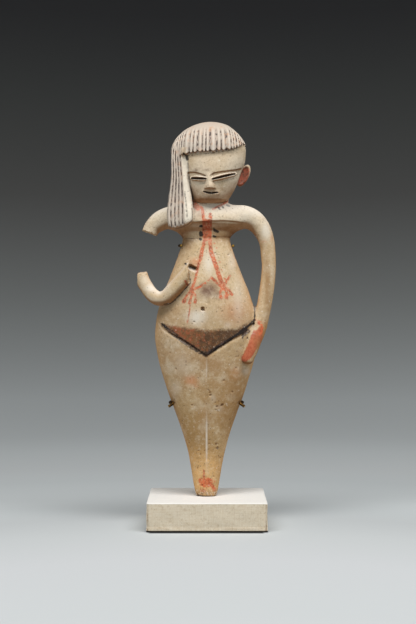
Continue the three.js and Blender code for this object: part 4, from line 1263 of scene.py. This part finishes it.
def paint_figurine(piece, field):
    """Stores, at the mesh's points, where each paint, stain, and painted light and shade lies."""
    points, normals = read_points(piece, "co"), read_points(piece, "normal")
    across, down = seen_from_front(points.astype(float))
    at = points / MM
    at[:, 2] -= FOOT / MM
    x, y, z = at.T
    facing = np.clip((0.15 - normals[:, 1]) / 0.35, 0, 1)
    behind = (1 - facing) * 4
    kept = hair_places(at, normals)
    strokes = {
        "red_strokes": NECKLACE + STRAPS + PENDANTS + BELLY_LINE + WRIST_LINE + dots(STRAP_DOTS, 0.8),
        "red_worn": WORN_RED,
        "black_paint_and_shadows": BEADS + GROIN_PAINT + CONTACT_LINES,
        "worn_black": GROIN_WORN + LOCK_WORN,
        "faded_strokes": dots(FADED_BEADS, 0.75),
        "shade_lines": SHADE_LINES,
    }
    for name, lines in strokes.items():
        kept[name] = stroke_distance(across, down, lines) + behind
    for name, corners in OUTLINES.items():
        kept[name] = outline_distance(across, down, corners) + behind
    kept["red_worn"] = np.minimum(kept["red_worn"], kept.pop("foot_red"))
    for name, blots in BLOTS.items():
        kept[name] = blot_strength(across, down, blots) * facing
    # Painted light on upward faces, and painted shade on downward ones.
    kept["upward_light"] = eased(normals[:, 2], 0.25, 0.85) * (z > 90) * (normals[:, 1] < 0.3)
    kept["under"] = eased(-normals[:, 2], 0.2, 0.58) * (z > 6) * (1 - blot_strength(across, down, LIPS_CLEAR))
    # Side-facing surfaces, where a warm rim of light is painted.
    kept["sides"] = np.abs(normals[:, 0]) ** 5 * (1 - eased(z, 150, 185))
    # Painted shade: eye slits and mouth, black inside as their depth shows.
    slits = np.full(len(at), FAR)
    for line in (*EYES, MOUTH):
        route = on_face(line, 9, out=-0.003)
        for a, b in zip(route, route[1:]):
            along = np.clip((at - a) @ (b - a) / ((b - a) @ (b - a)), 0, 1)
            slits = np.minimum(slits, np.linalg.norm(at - a - along[:, None] * (b - a), axis=1))
    kept["slits"] = 1 - eased(slits, 0.75, 1.0)
    kept["broken"] = broken_faces(at, normals)
    ear_across, ear_along = ear_turned(x - EAR[0] * STATURE, z - EAR[2] * STATURE)
    ear_along = ear_along / (EAR_HALF[2] * STATURE) * 1.06 + 0.08
    ear_size = np.hypot(ear_across / (EAR_HALF[0] * STATURE), ear_along)
    out_of_head = np.abs((x / STATURE - HEAD_X) / values_at(HEAD, z / STATURE)[:, 0]) > 1.0
    kept["ear"] = (1 - eased(ear_size, 0.86, 1.02)) * out_of_head * (normals[:, 1] < 0.4) * (np.abs(y) < 8)
    # Dirt and painted shade in hollows: the clay comes nearer there than over a plain surface.
    for name, reach in HOLLOW_REACHES.items():
        kept[name] = np.clip(1 - field.sampled(at + normals * reach) / reach, 0, 1)
    for name, values in kept.items():
        store(piece, name, values)


def colour(red, green, blue):
    """A display colour, 0 to 255 each, as Blender's linear one."""
    levels = [c / 255 for c in (red, green, blue)]
    return (*[c / 12.92 if c <= 0.04045 else ((c + 0.055) / 1.055) ** 2.4 for c in levels], 1.0)


class Shader:
    """A material under construction: each call adds nodes and gives an output.

    Three numbers stand for a display colour.
    """

    def __init__(self, name):
        self.material = bpy.data.materials.new(name)
        self.material.use_nodes = True
        self.tree = self.material.node_tree
        self.place = self.node("TexCoord")["Object"]

    def feed(self, socket, value):
        if isinstance(value, bpy.types.NodeSocket):
            self.tree.links.new(value, socket)
        else:
            socket.default_value = colour(*value) if isinstance(value, tuple) else value

    def node(self, kind, inputs=None, **settings):
        """The outputs of a new node, with its inputs fed by name or number."""
        node = self.tree.nodes.new("ShaderNode" + kind)
        for name, value in settings.items():
            setattr(node, name, value)
        for key, value in (inputs or {}).items():
            self.feed(node.inputs[key], value)
        return node.outputs

    def set(self, **inputs):
        surface = self.tree.nodes["Principled BSDF"]
        for name, value in inputs.items():
            self.feed(surface.inputs[name.replace("_", " ")], value)

    def coordinates(self):
        return self.node("SeparateXYZ", {0: self.place}).values()

    def attribute(self, name):
        return self.node("Attribute", attribute_name=name)["Fac"]

    def math(self, operation, a, b=0.0):
        return self.node("Math", {0: a, 1: b}, operation=operation)[0]

    def times(self, first, *others):
        for other in others:
            first = self.math("MULTIPLY", first, other)
        return first

    def mix(self, share, a, b, blend="MIX"):
        given = {0: share, 6: a, 7: b}
        return self.node("Mix", given, data_type="RGBA", blend_type=blend, clamp_factor=True)[2]

    def tint(self, base, tone, *shares):
        """The base, covered by the tone as far as the product of the shares."""
        return self.mix(self.times(*shares), base, tone)

    def step(self, value, start, end, low=0.0, high=1.0, shape="SMOOTHSTEP"):
        """A change from low to high while the value goes from start to end."""
        given = dict(enumerate((value, start, end, low, high)))
        return self.node("MapRange", given, interpolation_type=shape)[0]

    def stretched(self, scale, place=None):
        return self.node("Mapping", {"Vector": place or self.place, "Scale": list(scale)})[0]

    def noise(self, size, detail=3.0, roughness=0.5, place=None, shift=0.0):
        """Values about 0.5 whose bumps are about size millimetres across."""
        given = {"Vector": place or self.place, "W": shift, "Scale": 1 / (size * MM), "Detail": detail}
        return self.node("TexNoise", {**given, "Roughness": roughness}, noise_dimensions="4D")["Fac"]

    def specks(self, size, share, shift=0.0):
        """Small separate specks: 1 inside each. About the given share of the cells has one."""
        given = {"Vector": self.place, "W": shift, "Scale": 1 / (size * MM)}
        cells = self.node("TexVoronoi", given, voronoi_dimensions="4D")
        near = self.step(cells["Distance"], 0.42, 0.26)
        chosen = self.step(self.node("SeparateColor", {0: cells["Color"]})[0], share + 0.02, share - 0.02)
        return self.times(near, chosen)

    def bump(self, height, strength, depth):
        given = {"Strength": strength, "Distance": depth * MM, "Height": height}
        self.set(Normal=self.node("Bump", given)[0])


def clay_material():
    """Fired clay under a cream slip, stained and rubbed, with worn red and black paint, and painted light and
    shade.
    """
    s = Shader("painted_clay")
    x, _, up = s.coordinates()
    broad = s.noise(26, 3, 0.55)
    patches = s.noise(9, 4, 0.6, shift=2.0)
    mottle = s.noise(2.6, 4, 0.65, shift=5.0)
    grain = s.noise(0.8, 3, 0.7, shift=8.0)
    flecks = s.noise(1.1, 3, 0.7, shift=50.0)
    # The slip: creamier above, more ochre towards the foot.
    slip = ANKLE
    for tone, start, end in SLIP_LEVELS:
        slip = s.mix(s.step(up, FOOT + start, FOOT + end), slip, tone)
    for pattern, start, end, most, tone in (
        (broad, 0.42, 0.66, 0.55, OCHRE),
        (patches, 0.5, 0.7, 0.4, CREAM),
        (mottle, 0.5, 0.72, 0.35, UMBER),
        (mottle, 0.5, 0.3, 0.3, CREAM),
        (grain, 0.5, 0.68, 0.4, UMBER),
        (flecks, 0.54, 0.68, 0.35, CREAM),
    ):
        slip = s.tint(slip, tone, s.step(pattern, start, end), most)
    # Surfaces facing the sides are tinted ochre, a painted warm rim of side light.
    slip = s.tint(slip, SIDE_RIM_LIGHT, s.attribute("sides"), 0.7)
    # Stains, with painted shade in the brown blots and painted light in the pale ones.
    for name, tone, most in STAINS:
        slip = s.tint(slip, tone, s.attribute(name), s.step(mottle, 0.2, 0.62, 0.45, 1.0), most)
    # Hair: a greyer slip, rubbed to orange clay in places, with black in its grooves.
    hair, comb = s.attribute("hair"), s.attribute("comb")
    slip = s.tint(slip, HAIR_SLIP, hair, 0.85)
    rubbed = s.step(s.noise(3.4, 3, 0.6, shift=12.0), 0.52, 0.66)
    slip = s.tint(slip, RUBBED_CLAY, rubbed, hair, s.step(up, FOOT + 0.208, FOOT + 0.224, 0.4, 0.65))
    slip = s.tint(slip, CROWN_GREY, hair, s.step(up, FOOT + 0.212, FOOT + 0.224, 0.0, 0.5))
    broken = s.noise(1.5, 3, 0.6, s.stretched((1.0, 1.0, 0.55)), 14.0)
    slip = s.tint(slip, GROOVE_BLACK, s.step(comb, 0.14, 0.5), s.step(broken, 0.44, 0.58, 0.12, 1.0), 0.9)
    slip = s.tint(slip, PALE_STAIN_AND_LIGHT, s.step(comb, 0.12, 0.0), s.attribute("combed"), 0.3)
    # Painted light: the lock's plain strip is whitened as if lit.
    strip_share = s.step(s.noise(3.0, 3, 0.6, shift=48.0), 0.35, 0.65, 0.6, 0.85)
    slip = s.tint(slip, STRIP_LIGHT, s.attribute("lock_strip"), strip_share)
    # Paint: its edge wanders with the noise, and flakes are missing.
    wander = s.times(s.math("SUBTRACT", s.noise(1.3, 4, 0.7, shift=20.0), 0.5), 2.2)
    flaked = s.step(s.step(s.noise(0.9, 3, 0.7, shift=23.0), 0.38, 0.5), 0.0, 1.0, 0.35, 1.0)

    def painted(base, name, tone, opacity, edge, rough, flakes=True):
        off = s.math("ADD", s.attribute(name), s.times(wander, rough))
        shares = [s.step(off, edge, -edge), opacity]
        return s.tint(base, tone, *shares, *([flaked] if flakes else []))

    darker = s.math("ADD", s.noise(2.6, 4, 0.65, shift=27.0), s.step(x, -0.016, 0.014, -0.1, 0.12))
    umber_red = s.mix(s.step(darker, 0.36, 0.62), PUBIC_BROWN, PUBIC_DARK)
    redder = s.math("SUBTRACT", s.noise(2.0, 4, 0.7, shift=31.0), s.step(x, -0.018, 0.016, -0.06, 0.1))
    umber_red = s.tint(umber_red, PUBIC_RED, s.step(redder, 0.5, 0.62), 0.85)
    slip = painted(slip, "pubic", umber_red, 0.93, edge=1.3, rough=1.9, flakes=False)
    bare = s.step(s.noise(0.9, 3, 0.7, shift=33.0), 0.56, 0.66)
    slip = s.tint(slip, CREAM, s.step(s.attribute("pubic"), 0.0, -0.6), 0.16, bare)
    red_share = s.step(mottle, 0.4, 0.62)
    reds, hand_reds = (s.mix(red_share, red, DARK_RED) for red in (RED, HAND_RED))
    ear_red = s.mix(s.step(mottle, 0.42, 0.6), DARK_RED, EAR_BROWN)
    worn_black = s.mix(s.step(mottle, 0.45, 0.65), BLACK, WORN_BLACK)
    slip = painted(slip, "red_strokes", reds, 0.86, edge=0.35, rough=0.45)
    slip = painted(slip, "red_areas", hand_reds, 0.9, edge=0.4, rough=1.1, flakes=False)
    # Painted shade down the hand's outer side, over its red.
    slip = s.tint(slip, BROWN_STAIN_AND_SHADE, s.attribute("hand_shade"), 0.75)
    slip = painted(slip, "red_worn", reds, 0.9, edge=0.5, rough=1.3)
    slip = s.tint(slip, ear_red, s.attribute("ear"), 0.88)
    slip = painted(slip, "faded_strokes", UMBER, 0.75, edge=0.35, rough=0.5)
    # Black paint, and painted shadows of cracks and of clay laid on clay.
    slip = painted(slip, "black_paint_and_shadows", BLACK, 0.93, edge=0.3, rough=0.6, flakes=False)
    slip = painted(slip, "worn_black", worn_black, 0.9, edge=0.5, rough=0.8)
    # Painted shade inside the eye slits and mouth.
    slip = s.tint(slip, BLACK, s.attribute("slits"))
    # Painted shade lines under the fringe, brows and chin, round the lock's foot, and in creases.
    slip = painted(slip, "shade_lines", DIRT_AND_SHADE, 0.8, edge=0.2, rough=0.2)
    # Painted light: upward faces above the waist are whitened, and downward faces get a painted brown shade.
    slip = s.tint(slip, TOP_LIGHT, s.attribute("upward_light"), s.step(hair, 0.6, 0.2), 0.45)
    under = s.tint((255, 255, 255), UNDERSIDE_SHADE, s.attribute("under"), 0.88)
    slip = s.mix(1.0, slip, under, "MULTIPLY")
    # Dirt and painted shade in hollows, dark pin-holes, and pale flecks where the slip has flaked.
    slip = s.tint(slip, DEEP_DIRT_AND_SHADE, s.step(s.attribute("hollow_fine"), 0.38, 0.8), 0.85)
    slip = s.tint(slip, DIRT_AND_SHADE, s.step(s.attribute("hollow_broad"), 0.3, 0.9), 0.25)
    on_body = s.step(hair, 0.9, 0.1)
    slip = s.tint(slip, DIRT_AND_SHADE, s.specks(1.2, 0.13), on_body, 0.5)
    slip = s.tint(slip, PALE_STAIN_AND_LIGHT, s.specks(1.5, 0.06, 3.0), on_body, 0.35)
    # Break faces show the coarser body of the clay.
    crumb = s.mix(s.step(s.noise(1.1, 3, 0.7, shift=41.0), 0.46, 0.66), CLAY_BODY, CLAY_DARK)
    crumb = s.tint(crumb, PALE_STAIN_AND_LIGHT, s.step(s.noise(0.9, 2, 0.6, shift=45.0), 0.56, 0.64))
    slip = s.tint(slip, crumb, s.attribute("broken"), 0.87)
    s.set(Base_Color=slip, Roughness=s.step(mottle, 0.3, 0.7, 0.82, 0.96), Specular_IOR_Level=0.25)
    s.bump(s.math("ADD", s.times(grain, 0.5), s.times(mottle, 0.8)), 0.5, 0.35)
    return s.material


def brass_material():
    """Drawn brass gone brown, with a painted glint at the wires' cut ends."""
    s = Shader("brass_wire")
    brown = s.mix(s.step(s.noise(2.2, 4, 0.65), 0.35, 0.65), BRASS_BROWN, BRASS_DARK)
    cut = s.step(s.attribute("cut_end"), 0.3, 0.8)
    s.set(Base_Color=s.mix(cut, brown, BRASS_GLINT), Metallic=1.0)
    s.set(Roughness=s.step(cut, 0.0, 1.0, 0.5, 0.28))
    s.bump(s.noise(0.5, 2, 0.6, s.stretched((1, 1, 0.25)), 3.0), 0.25, 0.1)
    return s.material


def linen_material():
    """Undyed plain-weave linen with thick and thin threads."""
    s = Shader("linen")
    x, y, z = s.coordinates()
    cloth = s.node("CombineXYZ", {0: s.attribute("cloth_u"), 1: s.attribute("cloth_v")})[0]

    def threads(direction, scale, shift):
        """How thick the threads are and how high they stand, across one direction of the cloth."""
        given = {"Scale": 1 / THREAD, "Detail": 2.0, "Vector": s.stretched(scale, cloth)}
        slub = s.node("TexNoise", given)["Fac"]
        given = {"Scale": 0.314 / THREAD, "Distortion": 1.2, "Detail Scale": 0.6, "Phase Offset": shift}
        wave = s.node("TexWave", {**given, "Vector": cloth}, bands_direction=direction)
        return s.step(slub, 0.3, 0.75), wave["Fac"]

    warp_slub, warp = threads("X", (1.0, 0.07, 1.0), 0.0)
    weft_slub, weft = threads("Y", (0.07, 1.0, 1.0), 1.3)
    slubs = s.math("ADD", warp_slub, weft_slub)
    weave = s.math("MAXIMUM", warp, weft)
    grain = s.noise(1.3, 4, 0.7, shift=6.0)
    body = s.mix(s.step(slubs, 0.3, 1.5, 0.35, 0.65), LINEN_SHADE, LINEN_LIGHT)
    for pattern, start, end, most, tone in (
        (weave, 0.75, 0.35, 0.09, LINEN_GAP),
        (grain, 0.5, 0.7, 0.5, LINEN_GAP),
        (grain, 0.46, 0.3, 0.4, LINEN_LIGHT),
        (s.noise(7, 3, 0.55), 0.5, 0.72, 0.3, LINEN_SHADE),
    ):
        body = s.tint(body, tone, s.step(pattern, start, end), most)
    body = s.tint(body, LINEN_FLECK, s.specks(1.1, 0.07, 4.0), 0.3)
    # The upright seams beside the front's corners, painted shade under the hem's fold, and a painted
    # contact shadow along the edge that the block stands on.
    half_x, half_y = ((high - low) / 2 for low, high in zip(block_low[:2], block_high[:2]))
    top = block_high[2]
    from_middle = s.math("ABSOLUTE", s.math("SUBTRACT", x, LAST_FOLD / 2 * MM))
    off_seam = s.math("ABSOLUTE", s.math("SUBTRACT", from_middle, half_x + (LAST_FOLD / 2 - SEAM_INSET) * MM))
    frayed = s.step(s.noise(0.8, 2, 0.6, shift=9.0), 0.35, 0.6, 0.55, 1.0)
    on_front = s.step(s.math("ABSOLUTE", y), half_y - 0.9 * MM, half_y - 0.5 * MM)
    on_side = s.step(z, top - 0.8 * MM, top - 1.2 * MM)
    body = s.tint(body, LINEN_SEAM, s.step(off_seam, 0.5 * MM, 0.3 * MM), frayed, on_front, on_side, 0.9)
    body = s.tint(body, LINEN_SEAM, s.step(s.attribute("hem"), 0.3, 0.9), 0.28)
    body = s.tint(body, CONTACT_SHADOW, s.step(z, 1.25 * MM, 0.85 * MM))
    # A painted highlight: the block's top is lit almost white.
    body = s.tint(body, LINEN_TOP_LIGHT, s.step(z, top - 0.9 * MM, top - 0.4 * MM), 0.85)
    s.set(Base_Color=body, Roughness=0.95, Specular_IOR_Level=0.15, Sheen_Weight=0.15)
    s.bump(s.math("ADD", s.times(weave, 0.6), s.times(slubs, 0.5)), 0.4, 0.14)
    return s.material


def paper_material():
    """Backdrop paper, pale by the object and darker up the sweep: painted shade, with painted light where the
    figure's shadow falls.
    """
    s = Shader("backdrop_paper")
    x, y, _ = s.coordinates()
    back = s.math("ADD", y, BACKDROP_START)
    distance = s.math("SQRT", s.math("ADD", s.times(x, x), s.times(back, back)))
    tone = BACKDROP_LIGHT_AND_SHADE[0][1]
    for (start, _), (end, next_tone) in zip(BACKDROP_LIGHT_AND_SHADE, BACKDROP_LIGHT_AND_SHADE[1:]):
        tone = s.mix(s.step(distance, start, end, shape="LINEAR"), tone, next_tone)
    # The block's own shade lies on the floor in a narrow band along its front.
    past_front = s.step(y, block_low[1] - FLOOR_SHADE * MM, block_low[1], 0.0, 0.9)
    under_block = s.step(y, block_high[1] - 5 * MM, block_high[1] - 10 * MM)
    inside_ends = s.step(s.math("ABSOLUTE", x), block_high[0] - 0.8 * MM, block_high[0] - 3.0 * MM)
    tone = s.tint(tone, CONTACT_SHADOW, past_front, under_block, inside_ends)
    s.set(Base_Color=tone, Roughness=0.95, Specular_IOR_Level=0.1)
    s.bump(s.noise(3.0, 2, 0.5), 0.05, 0.1)
    return s.material


def put_in_scene(name, data, place):
    thing = bpy.data.objects.new(name, data)
    thing.location = place
    bpy.context.scene.collection.objects.link(thing)
    return thing


def area_light(name, place, aim, size, power, tone):
    light = bpy.data.lights.new(name, "AREA")
    light.shape = "RECTANGLE"
    light.size, light.size_y = size
    light.energy = power
    light.color = tone
    lamp = put_in_scene(name, light, place)
    lamp.rotation_euler = (Vector(aim) - Vector(place)).to_track_quat("-Z", "Y").to_euler()
    lamp.visible_camera = False


lens = bpy.data.cameras.new("camera")
lens.lens = LENS
lens.sensor_width = SENSOR
bpy.context.scene.camera = put_in_scene("camera", lens, CAMERA_PLACE)
bpy.context.scene.camera.rotation_euler = (math.radians(90 + CAMERA_PITCH), 0, 0)
area_light("overhead", (0.05, -0.48, 1.08), (0, 0, 0.12), (1.7, 0.4), 18.5, (1.0, 0.99, 0.975))
area_light("front_fill", (0.2, -1.5, 0.45), (0, 0, 0.1), (0.9, 0.9), 0.5, (1.0, 0.98, 0.95))
world = bpy.data.worlds.new("studio_air")
world.use_nodes = True
world.node_tree.nodes["Background"].inputs["Color"].default_value = (0.9, 0.93, 1.0, 1)
world.node_tree.nodes["Background"].inputs["Strength"].default_value = 0.02
bpy.context.scene.world = world
bpy.context.scene.view_settings.view_transform = "Standard"

sweep = stage_bowl()
sweep.data.materials.append(paper_material())

clay = clay_field()
points, quads = surface_net(clay)
points[:, 2] += FOOT / MM
figurine = mesh_of("clay_figurine", points * MM, quads)
thinned(figurine, MOST_TRIANGLES)
paint_figurine(figurine, clay)
figurine.data.materials.append(clay_material())
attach(figurine, "root")
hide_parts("figurine")

wires = brass_cradle()
wires.data.materials.append(brass_material())
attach(wires, "root")
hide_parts("brass_cradle")

cover = linen_block()
cover.data.materials.append(linen_material())
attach(cover, "root")
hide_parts("linen_covered_block")
